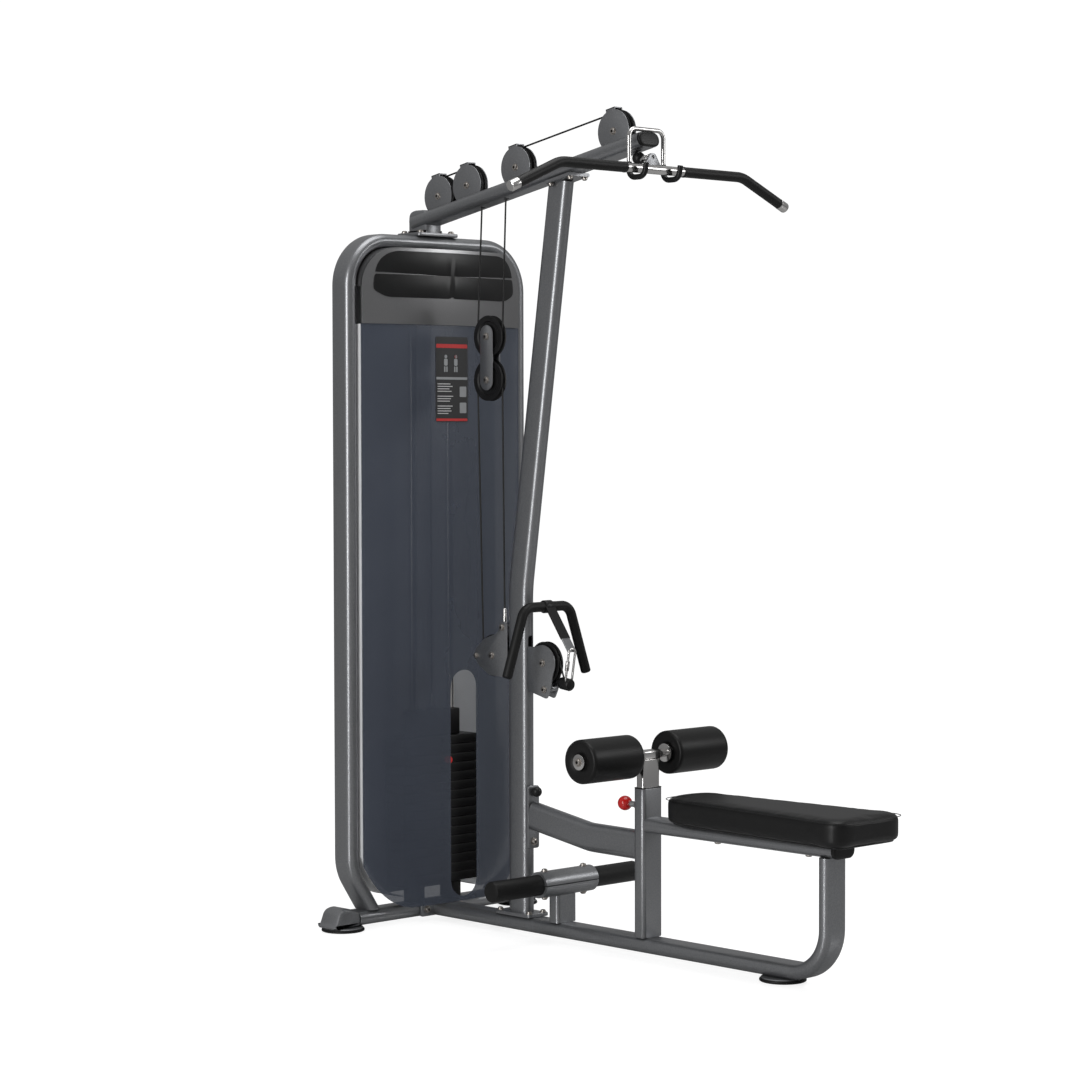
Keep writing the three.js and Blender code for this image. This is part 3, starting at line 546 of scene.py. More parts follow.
def rod(name, radius, start, end, edge=1.0, steps=32):
    """A round bar with its end edges rounded."""
    start, end = Vector(start), Vector(end)
    length = (end - start).length
    profile = [(0, 0), (radius - edge, 0), (radius - edge * 0.3, edge * 0.3), (radius, edge)]
    profile += [(r, length - d) for r, d in reversed(profile)]
    return lathe(name, profile, start, end - start, steps)


def ball(name, centre, radius, steps=28):
    rows = [math.pi * i / 16 for i in range(17)]
    profile = [(radius * math.sin(a), -radius * math.cos(a)) for a in rows]
    return lathe(name, profile, centre, Z_AXIS, steps, 60)


def join(name, parts):
    """Several objects as one mesh."""
    mesh = bmesh.new()
    for part in parts:
        mesh.from_mesh(part.data)
    data = bpy.data.meshes.new(name)
    mesh.to_mesh(data)
    mesh.free()
    for part in parts:
        bpy.data.objects.remove(part)
    made = bpy.data.objects.new(name, data)
    bpy.context.scene.collection.objects.link(made)
    return made


def apply_modifiers(thing):
    bpy.context.view_layer.update()
    graph = bpy.context.evaluated_depsgraph_get()
    data = bpy.data.meshes.new_from_object(thing.evaluated_get(graph))
    thing.modifiers.clear()
    thing.data = data
    return thing


def carve(thing, *cutters, angle=35):
    for cutter in cutters:
        modifier = thing.modifiers.new("cut", "BOOLEAN")
        modifier.operation = "DIFFERENCE"
        modifier.solver = "EXACT"
        modifier.object = cutter
    apply_modifiers(thing)
    for cutter in cutters:
        bpy.data.objects.remove(cutter)
    thing.data.set_sharp_from_angle(angle=math.radians(angle))
    return thing


def wear(thing, material, body, slot, *nodes):
    """Give a piece its material, the body it moves with and the CAD nodes that it stands for."""
    thing.data.materials.clear()
    thing.data.materials.append(material)
    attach(thing, body)
    if nodes:
        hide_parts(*nodes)
    return thing


def steel(thing, *nodes, body="frame"):
    return wear(thing, FRAME, body, "frame_paint", *nodes)


def section(across, along):
    return oval(across, along, min(TUBE_ROUND, across / 2 - 0.1, along / 2 - 0.1))


# ------------------------------------------------------------------ fasteners
BOLTS = {}


def bolt(body, centre, axis, radius=9.0, height=6.0, washer=True):
    """A domed cap screw with a hexagon socket, on its washer, added to its body's set."""
    axis = Vector(axis).normalized()
    centre = Vector(centre)
    base = 1.8 if washer else 0
    if washer:
        ring = [(0, 0), (radius * 1.3, 0), (radius * 1.3, base), (0, base)]
        BOLTS.setdefault(body, []).append(lathe("washer", ring, centre, axis, 24))
    top = base + height
    dome = [(0, base), (radius, base), (radius, base + height * 0.45), (radius * 0.9, base + height * 0.8)]
    dome += [(radius * 0.6, top), (radius * 0.48, top)]
    head = lathe("head", dome, centre, axis, 24)
    socket_walls = [(radius * 0.48, top), (radius * 0.44, top - height * 0.5), (0, top - height * 0.5)]
    socket = lathe("socket", socket_walls, centre, axis, 6)
    BOLTS[body] += [head, socket] if washer else []
    if not washer:
        BOLTS.setdefault(body, []).extend([head, socket])


def finish_bolts():
    for body, heads in BOLTS.items():
        wear(join(f"fasteners_{body}", heads), ZINC, body, "chrome")


# ------------------------------------------------------------------ base
def make_base():
    ends = [(0, -303, FLOOR_TUBE_Z), (0, 303, FLOOR_TUBE_Z)]
    steel(sweep("cross_tube_fine", section(80, 40), bent(ends, 1), X_AXIS), "cross_tube")
    casting = [(303.3, 12), (398, 12), (399, 17), (391, 25), (379, 55), (366, 65), (345, 67), (303.3, 52.5)]
    for side, sign in SIDES:
        outline = rounded([(sign * y, z) for y, z in casting], 9)
        steel(prism(f"foot_casting_{side}_fine", outline, "x", -40, 40, 11), f"foot_casting_{side}")
    for name, (x, y) in {"left": (0, -FOOT_Y), "right": (0, FOOT_Y), "front": (FRONT_FOOT_X, 0)}.items():
        tread = [(0, 0), (58, 0), (60.5, 1.5), (61, 4), (60, 7), (58, 8), (0, 8)]
        pad = lathe(f"foot_pad_{name}_fine", tread, (x, y, 0), Z_AXIS, 56)
        wear(pad, RUBBER, "frame", "rubber", f"foot_pad_{name}")
        ring = [(0, 8), (57, 8), (57.5, 9), (56, 11.2), (54, 11.7), (0, 11.7)]
        steel(lathe(f"foot_flange_{name}", ring, (x, y, 0), Z_AXIS, 56))
    corners = [(45, 0, FLOOR_TUBE_Z), (LEG_X, 0, FLOOR_TUBE_Z), (LEG_X, 0, LEG_TOP - 0.3)]
    beam = sweep("beam", section(80, 40), bent(corners, LEG_BEND, 4), Y_AXIS)
    flange = prism("flange", oval(170, 36, 6, 0, FLOOR_TUBE_Z), "x", 40.3, 50.3, 1.5)
    steel(join("base_beam_fine", [beam, flange]), "base_beam")
    for sign in (-1, 1):
        bolt("frame", (50.3, sign * 64, FLOOR_TUBE_Z + 2), X_AXIS, 8.5, 7)


def make_tower_loop():
    drop = LOOP_KNEE_Z - ON_FLOOR_TUBE
    foot = LOOP_Y - drop * math.tan(math.radians(LOOP_FOOT_ANGLE))
    half = [(0, foot - 6, 44), (0, LOOP_Y, LOOP_KNEE_Z), (0, LOOP_Y, LOOP_TOP)]
    corners = half + [(x, -y, z) for x, y, z in reversed(half)]
    loop = sweep("tower_loop_fine", section(80, 40), bent(corners, LOOP_BEND, 4), X_AXIS)
    floor = prism("floor", [(-100, -500), (100, -500), (100, 500), (-100, 500)], "z", -100, ON_FLOOR_TUBE)
    steel(carve(loop, floor), "tower_loop")


# ------------------------------------------------------------------ boom and post
def boom_point(x, offset=0.0, y=0.0):
    return (x - offset * math.sin(BOOM_ANGLE), y, boom_z(x) + offset * math.cos(BOOM_ANGLE))


def make_boom():
    stations = bent([boom_point(BOOM_REAR), boom_point(BOOM_FRONT)], 1)
    tube = sweep("boom_fine", section(80, 40), stations, Y_AXIS)
    cutters = [prism("pocket", circle(61.5, x, z, 48), "y", -15.8, 15.8) for x, z in UPPER_PULLEYS]
    cutters += [prism("hole", circle(8, x, 0), "z", 1900, 2300) for x in (0, 224, 322)]
    cutters.append(prism("hole", oval(44, 16, 7.9, 826, 0), "z", 1900, 2300))
    steel(carve(tube, *cutters), "boom")
    plug = bent([boom_point(BOOM_FRONT - 4), boom_point(BOOM_FRONT + 5)], 1)
    plug = sweep("boom_end_plug", section(78, 38), plug, Y_AXIS, round_ends=4)
    wear(plug, PLASTIC, "frame", "black_plastic")

    side = rounded([(-62, 1972), (18, 1972), (18, 2040), (-62, 2040)], 26, 8)
    side = [(x, z) if z > 2000 else (-62 if x < -22 else 18, 1972) for x, z in side]
    column = prism("column", side, "y", -30, 30, 9)
    plate = prism("plate", oval(100, 150, 8, -10, 0), "z", 1962.3, 1972.3, 1.5)
    steel(join("mast_stub_fine", [column, plate]), "mast_stub")
    for x in (-45, 25):
        for y in (-58, 58):
            bolt("frame", (x, y, 1972.3), Z_AXIS, 8, 6)


def make_upright():
    top = UPRIGHT_TOP - 4
    top_x = UPRIGHT_X + UPRIGHT_LEAN * (top - UPRIGHT_BEND_Z)
    corners = [(UPRIGHT_X, 0, ON_FLOOR_TUBE), (UPRIGHT_X, 0, UPRIGHT_BEND_Z), (top_x, 0, top)]
    post = sweep("upright_fine", section(40, 80), bent(corners, 500, 1), Y_AXIS)
    slot = prism("slot", oval(18, 150, 8.9, 0, 762), "x", UPRIGHT_X - 60, UPRIGHT_X + 60)
    carve(post, slot)
    foot = prism("foot", oval(140, 78, 8, UPRIGHT_X, 0), "z", ON_FLOOR_TUBE, 62, 1.5)
    offset = -(TUBE_THIN / 2 + 5.5)
    head = bent([boom_point(515, offset), boom_point(608, offset)], 1)
    head = sweep("head", oval(78, 10, 3), head, Y_AXIS)
    steel(join("upright_fine", [post, foot, head]), "upright")
    for x in (-58, 58):
        for y in (-27, 27):
            bolt("frame", (UPRIGHT_X + x, y, 62), Z_AXIS, 7.5, 6)
    down = Vector((math.sin(BOOM_ANGLE), 0, -math.cos(BOOM_ANGLE)))
    for x in (524, 599):
        for y in (-28, 28):
            bolt("frame", boom_point(x, -31, y), down, 7, 6)


def make_brace():
    corners = [(427, 0, 334.4), (655, 0, 297.5), (850.5, 0, 295.5)]
    tube = sweep("brace", section(40, 80), bent(corners, 200, 2), Y_AXIS)
    plate = prism("plate", rounded([(-21, 243), (21, 243), (21, 418), (-21, 418)], 8), "x", 418.3, 428, 1.5)
    steel(join("yoke_brace_fine", [tube, plate]), "yoke_brace")
    bolt("frame", (428, 0, 262), X_AXIS, 8.5, 6)
    knob = join("post_bumper", [ball("b", (440, 0, 402), 14.5), rod("s", 6, (428, 0, 402), (440, 0, 402))])
    wear(knob, GLOSS, "frame", "black_plastic")


# ------------------------------------------------------------------ knee rest
def make_knee_rest():
    outline = oval(40, 75, 12, KNEE_X, 0)
    post = prism("knee_post_fine", outline, "z", ON_FLOOR_TUBE, KNEE_TOP, 1.5)
    carve(post, prism("bore", oval(31.4, 65.4, 8, KNEE_X, 0), "z", 72, 600))
    steel(post, "knee_post")
    collar = prism("post_collar_fine", oval(41, 76, 12, KNEE_X, 0), "z", KNEE_TOP + 0.3, KNEE_TOP + 2.5, 0.8)
    carve(collar, prism("bore", oval(31, 65, 8, KNEE_X, 0), "z", 300, 600))
    wear(collar, PLASTIC, "frame", "black_plastic", "post_collar")

    inner = prism("inner", oval(30, 64, 8, KNEE_X, 0), "z", 300, 529, 1)
    levels = [LOCK_PIN_Z + KNEE_HOLE_PITCH * k for k in range(-4, 3)]
    holes = [rod("h", 5.5, (850, 0, level), (866, 0, level), 0.1) for level in levels]
    carve(inner, *holes)
    tee = prism("tee", oval(30, 26, 8, KNEE_X, AXLE_Z), "y", -35, 35, 2)
    inner = join("inner_post_fine", [inner, tee])
    wear(inner, CHROME, "knee_rest", "chrome", "inner_post")
    parts = [rod("axle", 11, (KNEE_X, -259, AXLE_Z), (KNEE_X, 259, AXLE_Z))]
    for _, sign in SIDES:
        near = rod("w", 25, (KNEE_X, sign * 62, AXLE_Z), (KNEE_X, sign * 67.5, AXLE_Z), 1, 40)
        far = rod("w", 21, (KNEE_X, sign * 257.5, AXLE_Z), (KNEE_X, sign * 260.5, AXLE_Z), 1, 40)
        parts += [near, far]
        bolt("knee_rest", (KNEE_X, sign * 260, AXLE_Z), (0, sign, 0), 9, 5)
    wear(join("knee_axle_fine", parts), CHROME, "knee_rest", "chrome", "knee_axle")
    for side, sign in SIDES:
        make_roller(side, sign)

    knob = ball("knob", (785, 0, LOCK_PIN_Z), 20)
    wear(knob, RED, "lock_pin", "knob_red", "pop_pin")
    sleeve = rod("a", 8, (800, 0, LOCK_PIN_Z), (838, 0, LOCK_PIN_Z))
    shaft = rod("b", 5, (830, 0, LOCK_PIN_Z), (862, 0, LOCK_PIN_Z))
    stem = join("lock_pin_stem", [sleeve, shaft])
    wear(stem, CHROME, "lock_pin", "chrome")
    sleeve = [(0, 0), (10, 0), (12, 2), (12, 16), (13.5, 18), (13.5, 24), (0, 24)]
    steel(lathe("lock_pin_barrel", sleeve, (826.5, 0, LOCK_PIN_Z), X_AXIS))


def make_roller(side, sign):
    """A foam sleeve with soft rims and a dished face at each end."""
    half = (ROLLER_OUT - ROLLER_IN) / 2
    end = [(11.6, 5), (24, 4.4), (26, 2.2), (46, 1.0), (52, 0.6), (56, 2.6), (58.1, 7), (58.5, 13)]
    mirrored = [(r, 2 * half - d) for r, d in reversed(end)]
    profile = [*end, *mirrored, end[0]]
    start = (KNEE_X, sign * ROLLER_IN, AXLE_Z)
    sleeve = lathe(f"knee_roller_{side}_fine", profile, start, Y_AXIS * sign, 64, 50)
    wear(sleeve, FOAM, f"roller_{side}", "foam", f"knee_roller_{side}")


# ------------------------------------------------------------------ seat
def seat_outline():
    def half_at(x):
        spread = SEAT_FRONT_HALF - SEAT_REAR_HALF
        return SEAT_REAR_HALF + spread * (x - SEAT_REAR) / (SEAT_FRONT - SEAT_REAR)

    corners = []
    for x, sign in ((SEAT_REAR, -1), (SEAT_FRONT, -1), (SEAT_FRONT, 1), (SEAT_REAR, 1)):
        corners.append((x, sign * half_at(x)))
    return rounded(corners, 72, 10)


def make_seat():
    ends = [(891.5, 0, RAIL_Z), (RAIL_FRONT, 0, RAIL_Z)]
    steel(sweep("seat_rail_fine", section(80, 40), bent(ends, 1), Y_AXIS), "seat_rail")
    cap = [(RAIL_FRONT - 3, 0, RAIL_Z), (RAIL_FRONT + 4, 0, RAIL_Z)]
    rail_cap = sweep("seat_rail_cap", section(82, 42), bent(cap, 1), Y_AXIS, round_ends=3)
    wear(rail_cap, PLASTIC, "frame", "black_plastic")
    for x in (1125, 1438):
        bolt("frame", (x, 0, 335), -Z_AXIS, 9, 6)
    board = prism("seat_board", inset(seat_outline(), 26), "z", SEAT_LOW, SEAT_LOW + 13, 2)
    wear(board, PLASTIC, "frame", "black_plastic")
    pad = prism("seat_pad_fine", inset(seat_outline(), 9), "z", SEAT_LOW + 4, SEAT_HIGH - 5, 12)
    swell(pad, 5.0)
    wear(pad, VINYL, "frame", "upholstery", "seat_pad")
    seam = [(x, y, SEAT_HIGH - 9) for x, y in inset(seat_outline(), 8)]
    wear(closed_cord("seat_seam", seam, 1.1), VINYL, "frame", "upholstery")


def closed_cord(name, points, radius, sides=10):
    """A round bead along a closed, flat outline."""
    count = len(points)
    verts = []
    for i, point in enumerate(points):
        here = Vector(point)
        ahead = Vector(points[(i + 1) % count]) - Vector(points[i - 1])
        out = ahead.cross(Z_AXIS).normalized()
        for k in range(sides):
            a = 2 * math.pi * k / sides
            verts.append(tuple(here + out * radius * math.cos(a) + Z_AXIS * radius * math.sin(a)))
    faces = []
    for i in range(count):
        j = (i + 1) % count
        for k in range(sides):
            m = (k + 1) % sides
            faces.append((i * sides + k, j * sides + k, j * sides + m, i * sides + m))
    return obj_from(name, verts, faces, 60)


def swell(pad, most):
    """Blow the pad up as cloth under pressure, moving no point more than most millimetres."""
    remesh = pad.modifiers.new("remesh", "REMESH")
    remesh.mode = "VOXEL"
    remesh.voxel_size = 0.006
    apply_modifiers(pad)
    rest = np.array([v.co for v in pad.data.vertices])
    cloth = pad.modifiers.new("cloth", "CLOTH")
    cloth.settings.quality = 5
    cloth.settings.use_pressure = True
    cloth.settings.uniform_pressure_force = 4
    cloth.settings.tension_stiffness = 40
    cloth.settings.compression_stiffness = 40
    cloth.settings.effector_weights.gravity = 0
    for step in range(1, 21):
        bpy.context.scene.frame_set(step)
    apply_modifiers(pad)
    moved = np.array([v.co for v in pad.data.vertices]) - rest
    length = np.linalg.norm(moved, axis=1, keepdims=True)
    capped = rest + moved * np.minimum(1, most * MM / np.maximum(length, 1e-9))
    pad.data.vertices.foreach_set("co", capped.astype(np.float32).ravel())
    bpy.context.scene.frame_set(1)
    subdivision = pad.modifiers.new("fine", "SUBSURF")
    subdivision.levels = 1
    subdivision.render_levels = 1
    apply_modifiers(pad)
    pad.data.polygons.foreach_set("use_smooth", [True] * len(pad.data.polygons))


# ------------------------------------------------------------------ foot bar
def make_foot_bar():
    x, z = 548, 164
    grip = rod("foot_bar_fine", 28.5, (x, -275, z), (x, 275, z), 5, 48)
    wear(grip, RUBBER, "frame", "rubber", "foot_bar")
    for name, start in (("foot_bar_cap", 2), ("foot_bar_clamp", 182)):
        outer = arc(x, z, 36, start, start + 176, 28)
        inner = arc(x, z, 28.8, start + 176, start, 28)
        half = prism(name + "_fine", outer + inner, "y", -100, 100, 0)
        steel(half, name)
        for y in (-74, 74):
            direction = Vector((0, 0, 1 if start < 90 else -1))
            bolt("frame", Vector((x, y, z)) + direction * 35, direction, 8, 6)
    post = prism("foot_bar_post_fine", oval(40, 75, 12, 542, 0), "z", ON_FLOOR_TUBE, 139)
    steel(carve(post, prism("seat", circle(36.3, x, z, 48), "y", -90, 90)), "foot_bar_post")


# ------------------------------------------------------------------ covers
def cover_outline(low):
    """The space inside the hoop, on (Y, Z)."""
    half, corner = PANEL_HALF, COVER_CORNER
    right = [(150, low), *quadratic((150, low), (245, low + 12), (half, low + 131), 12)[1:]]
    right += arc(half - corner, COVER_TOP - corner, corner, 0, 90, 14)
    return right + [(-y, z) for y, z in reversed(right)]


def bow_x(y, offset=0.0):
    return PANEL_MID - BOW_R + math.sqrt(BOW_R**2 - y**2) + offset


def bowed(name, outline, thickness, offset=0.0, holes=(), bevel=0.0, step=12.0):
    """A sheet with the covers' bow, cut to an outline on (Y, Z) and pierced by the holes."""
    ys = [p[0] for p in outline]
    zs = [p[1] for p in outline]
    count = max(4, round((max(ys) - min(ys)) / step))
    columns = [min(ys) - 1 + (max(ys) - min(ys) + 2) * i / count for i in range(count + 1)]
    front = [(bow_x(y, offset), y) for y in columns]
    back = [(bow_x(y, offset - thickness), y) for y in reversed(columns)]
    slab = prism(name, front + back, "z", min(zs) - 1, max(zs) + 1)
    punch = slab.modifiers.new("trim", "BOOLEAN")
    punch.operation = "INTERSECT"
    punch.solver = "EXACT"
    trimmer = prism("trim", outline, "x", 0, 300)
    punch.object = trimmer
    apply_modifiers(slab)
    bpy.data.objects.remove(trimmer)
    if holes:
        carve(slab, *[prism("hole", hole, "x", 0, 300) for hole in holes])
    slab.data.set_sharp_from_angle(angle=math.radians(30))
    if bevel:
        soft = slab.modifiers.new("rim", "BEVEL")
        soft.width = bevel * MM
        soft.segments = 3
        soft.limit_method = "ANGLE"
        soft.angle_limit = math.radians(50)
        apply_modifiers(slab)
        slab.data.set_sharp_from_angle(angle=math.radians(40))
    return slab


def make_covers():
    inside = cover_outline(PANEL_LOW)
    split = PANEL_SPLIT - 0.5
    lower = [(y, z) for y, z in inside if z < 1500 and y > 0] + [(PANEL_HALF, split), (-PANEL_HALF, split)]
    lower += [(y, z) for y, z in inside if z < 1500 and y < 0]
    slot = oval(SLOT_WIDTH, SLOT_HEIGHT, SLOT_ROUND, SLOT_Y, SLOT_Z, 10)
    sheet = bowed("front_shroud_fine", lower, 4, holes=[slot], bevel=0.8)
    wear(sheet, CLEAR, "frame", "shroud", "front_shroud")
    sheet.visible_shadow = False

    upper_edge = [(y, z) for y, z in inside if z > 1500]
    upper = [(PANEL_HALF, PANEL_SPLIT), *upper_edge, (-PANEL_HALF, PANEL_SPLIT)]
    header = bowed("header_shell_fine", upper, 6, offset=1.5, bevel=2)
    wear(header, SILVER, "frame", "silver_plastic", "header_shell")
    half = rounded([(0, 1782), (225, 1782), (268, 1802), (262, 1850), (0, 1850)], 16, 4)
    half = [p for p in half if p[0] > 1 and p[1] < 1849]
    half += quadratic((260, 1852), (248, 1908), (186, 1912), 10)
    badge = half + [(-y, z) for y, z in reversed(half)]
    wear(bowed("header_badge", badge, 5, offset=5, bevel=1.5), GLOSS, "frame", "black_plastic")
    wear(header_rim(upper), SILVER, "frame", "silver_plastic")

    make_placard()
    back = prism("back", cover_outline(78), "x", -54, -50, 0.8)
    wear(back, PANEL, "frame", "silver_plastic", "rear_cover")
    for side, sign in SIDES:
        path = [(299.7, 1706), *quadratic((299.7, 209), (245, 90), (150, 78.5), 12)]
        # The side strips take the pale strip colour, which holds painted side light.
        strip = prism(f"side_strip_{side}", band([(sign * y, z) for y, z in path], -sign * 3.7), "x", -50, 44)
        wear(strip, PALE_STRIP_PAINTED_LIGHT, "frame", "silver_plastic")


def band(path, thickness):
    """A closed strip along an open path, its other edge to the left of the path's heading."""
    points = [Vector(p) for p in path]
    other = []
    for i, here in enumerate(points):
        along = points[min(i + 1, len(points) - 1)] - points[max(i - 1, 0)]
        along.normalize()
        other.append(tuple(here + thickness * Vector((-along.y, along.x))))
    return [*path, *reversed(other)]


def header_rim(outline):
    """The header's turned-back edge, from its bowed front to the middle of the hoop."""
    path = outline[1:-1]
    inner = inset(outline, 4)[1:-1]
    verts = []
    for (y, z), (iy, iz) in zip(path, inner):
        verts += [(5, y, z), (bow_x(y, 1), y, z), (bow_x(iy, 1), iy, iz), (5, iy, iz)]
    count = len(path)
    faces = []
    for k in range(count - 1):
        for i in range(4):
            here, after = k * 4, k * 4 + 4
            j = (i + 1) % 4
            faces.append((here + i, after + i, after + j, here + j))
    faces += [(0, 1, 2, 3), tuple(4 * count - 4 + i for i in (3, 2, 1, 0))]
    return obj_from("header_rim", verts, faces)


def make_placard():
    """A plain instruction plate behind the clear cover: bands, two small figures and rules, with no words."""
    ink = placard_paint("placard_black", (0.012, 0.012, 0.013))
    red = placard_paint("placard_red", (0.55, 0.02, 0.02))
    grey = placard_paint("placard_grey", (0.30, 0.31, 0.32))
    pale = placard_paint("placard_pale", (0.62, 0.62, 0.62))
    y0, y1, z0, z1 = -61, 61, 1432, 1674
    card = bowed("placard", oval(y1 - y0, z1 - z0, 5, 0, (z0 + z1) / 2), 0.8, offset=1.2, step=8)
    wear(card, ink, "frame", "black_plastic")

    def mark(name, outlines, finish):
        marks = [bowed(name, outline, 0.5, offset=1.7, step=8) for outline in outlines]
        wear(join(name, marks), finish, "frame", "black_plastic")

    mark("placard_bands", [oval(118, 11, 2, 0, 1648), oval(118, 7, 2, 0, 1438)], red)
    mark("placard_rules", [oval(118, 7, 2, 0, 1556)], grey)
    lines = [oval(length, 2.2, 1, -30 + length / 2 - 25, z) for z, length in PLACARD_LINES]
    mark("placard_lines", lines, pale)
    figures = []
    for y in (-24, 14):
        figures += [circle(5, y, 1618, 16), oval(13, 20, 4, y, 1602), oval(5, 16, 2, y - 4, 1582)]
        figures += [oval(5, 16, 2, y + 4, 1582)]
    mark("placard_figures", figures, grey)
    mark("placard_figure_marks", [circle(5.2, 14, 1618, 16)], red)
    mark("placard_inset", [oval(26, 30, 3, 42, z) for z in (1518, 1472)], grey)


PLACARD_LINES = [
    (1540, 48),
    (1533, 56),
    (1526, 44),
    (1519, 52),
    (1505, 58),
    (1498, 50),
    (1491, 46),
    (1477, 56),
    (1470, 48),
    (1463, 52),
    (1456, 40),
]


# ------------------------------------------------------------------ weight stack
def make_stack():
    for side, sign in SIDES:
        y = sign * ROD_Y
        bar = rod(f"guide_rod_{side}_fine", 12.5, (0, y, ON_FLOOR_TUBE), (0, y, LOOP_TOP - 20.3), 1, 40)
        wear(bar, CHROME, "frame", "chrome", f"guide_rod_{side}")
        ring = [(13.2, 0), (28, 0), (30, 3), (30, 46), (28, 50), (13.2, 50), (13.2, 0)]
        bumper = lathe(f"rod_bumper_{side}_fine", ring, (0, y, ON_FLOOR_TUBE), Z_AXIS)
        wear(bumper, RUBBER, "frame", "rubber", f"rod_bumper_{side}")
    for k in range(RESTING):
        nodes = ["resting_plates"] if k == 0 else []
        make_plate(f"weight_plate_{RESTING + LIFTED - k:02d}", STACK_LOW + k * PLATE_THICK, "frame", nodes)
    for k in range(LIFTED):
        nodes = ["lifted_plates"] if k == 0 else []
        make_plate(f"weight_plate_{LIFTED - k:02d}", LIFTED_LOW + k * PLATE_THICK, "carriage", nodes)

    head = prism("head", oval(50, 180, 8), "z", HEAD_LOW, HEAD_HIGH - 10, 3)
    drill_rods(head)
    boss = rod("boss", 15, (0, 0, HEAD_HIGH - 12), (0, 0, HEAD_HIGH - 1), 2)
    selector = rod("selector", 10.8, (0, 0, 122), (0, 0, HEAD_LOW + 4))
    wear(join("stack_head_fine", [head, boss, selector]), PLATES, "carriage", "plate_iron", "stack_head")
    socket = rod("cable_socket", 6, (0, 0, HEAD_HIGH - 2), (0, 0, HEAD_HIGH + 34), 1.5)
    wear(socket, CHROME, "carriage", "chrome")

    shaft = rod("weight_pin_shaft", 5, (-13, PIN_Y, PIN_Z), (60, PIN_Y, PIN_Z))
    wear(shaft, CHROME, "pin", "chrome")
    grip = [(0, 0), (7, 0), (8, 2), (8, 5), (11, 8), (11, 15), (9, 18), (0, 18)]
    knob = lathe("weight_pin_knob", grip, (58, PIN_Y, PIN_Z), X_AXIS)
    wear(knob, RED, "pin", "knob_red", "weight_pin")


def drill_rods(thing):
    holes = [rod("h", 13.2, (0, sign * ROD_Y, 0), (0, sign * ROD_Y, 900), 0.1, 24) for _, sign in SIDES]
    return carve(thing, *holes)


def make_plate(name, low, body, nodes):
    """One iron plate with eased edges, guide holes and its pin hole."""
    outline = oval(PLATE_DEEP, PLATE_WIDE, 6, steps=4)
    plate = prism(name, outline, "z", low + 0.3, low + PLATE_THICK - 0.3, 1.8)
    middle = low + PLATE_THICK / 2
    pin_hole = rod("h", 5.6, (-16, PIN_Y, middle), (60, PIN_Y, middle), 0.1, 20)
    core = rod("h", 12.2, (0, 0, 0), (0, 0, 900), 0.1, 24)
    drill_rods(carve(plate, pin_hole, core))
    wear(plate, PLATES, body, "plate_iron", *nodes)


# ------------------------------------------------------------------ pulleys
def make_pulley(node_name, x, z, body):
    """A nylon wheel with a cable groove, dished faces, a hub and a bearing."""
    w = PULLEY_WIDTH / 2
    half = [(14, w - 0.5), (17, w - 3.5), (40, w - 3.5), (44, w - 0.5), (57.5, w), (59, w - 1.2)]
    half += [(52, 4.6), (48.4, 2.9), (47.6, 1.2)]
    profile = half + [(r, -d) for r, d in reversed(half)]
    profile.append(profile[0])
    wheel = lathe(f"{node_name}_fine", profile, (x, 0, z), Y_AXIS, 72, 25)
    wear(wheel, PLASTIC, body, "black_plastic", node_name)
    race = [(6.8, w - 0.6), (13.9, w - 0.6), (13.9, -w + 0.6), (6.8, -w + 0.6), (6.8, w - 0.6)]
    wear(lathe(f"{node_name}_bearing", race, (x, 0, z), Y_AXIS), CHROME, body, "chrome")


def axle_bolt(body, x, z, reach, radius=9.0):
    for sign in (-1, 1):
        bolt(body, (x, sign * reach, z), (0, sign, 0), radius, 4.2)


def through(x, z, radius, reach):
    return rod("bolt", radius, (x, -reach, z), (x, reach, z))


def make_upper_pulleys():
    for i, (x, z) in enumerate(UPPER_PULLEYS):
        make_pulley(f"upper_pulley_{i + 1}", x, z, f"upper_pulley_{i + 1}_body")
        tilt = math.degrees(BOOM_ANGLE)
        rim = arc(x, z, 58, 107 + tilt, 433 + tilt, 60)
        c, s = math.cos(BOOM_ANGLE), math.sin(BOOM_ANGLE)
        tongue = [(x + u * c - v * s, z + u * s + v * c) for u, v in ((17, 63.5), (-17, 63.5))]
        cheeks = []
        for _, sign in SIDES:
            y0, y1 = sorted((sign * 12, sign * 15))
            cheeks.append(prism("cheek", rim + tongue, "y", y0, y1, 0.6))
        tab = ((-17, 60.6), (17, 60.6), (17, 63.5), (-17, 63.5))
        corners = [(x + u * c - v * s, z + u * s + v * c) for u, v in tab]
        cheeks.append(prism("tab", corners, "y", -15, 15, 0.5))
        cheeks.append(through(x, z, 6, 14))
        steel(join(f"pulley_guard_{i + 1}_fine", cheeks), f"pulley_guard_{i + 1}")
        axle_bolt("frame", x, z, 15, 8)


def make_float_block():
    plates = []
    for _, sign in SIDES:
        y0, y1 = sorted((sign * 12, sign * 15))
        plates.append(prism("plate", oval(52, 183, 25.9, FLOAT_X, 1611.5, 14), "y", y0, y1, 0.8))
    for z in (FLOAT_HIGH, FLOAT_LOW):
        plates.append(through(FLOAT_X, z, 6, 14))
        axle_bolt("float_block", FLOAT_X, z, 15, 8.5)
    steel(join("float_plates_fine", plates), "float_plates", body="float_block")
    make_pulley("float_pulley_upper", FLOAT_X, FLOAT_HIGH, "float_pulley_upper_body")
    make_pulley("float_pulley_lower", FLOAT_X, FLOAT_LOW, "float_pulley_lower_body")


def cheeks(outline, corner=10):
    pair = []
    for _, sign in SIDES:
        y0, y1 = sorted((sign * 12.5, sign * 16.5))
        pair.append(prism("cheek", rounded(outline, corner), "y", y0, y1, 0.8))
    return pair


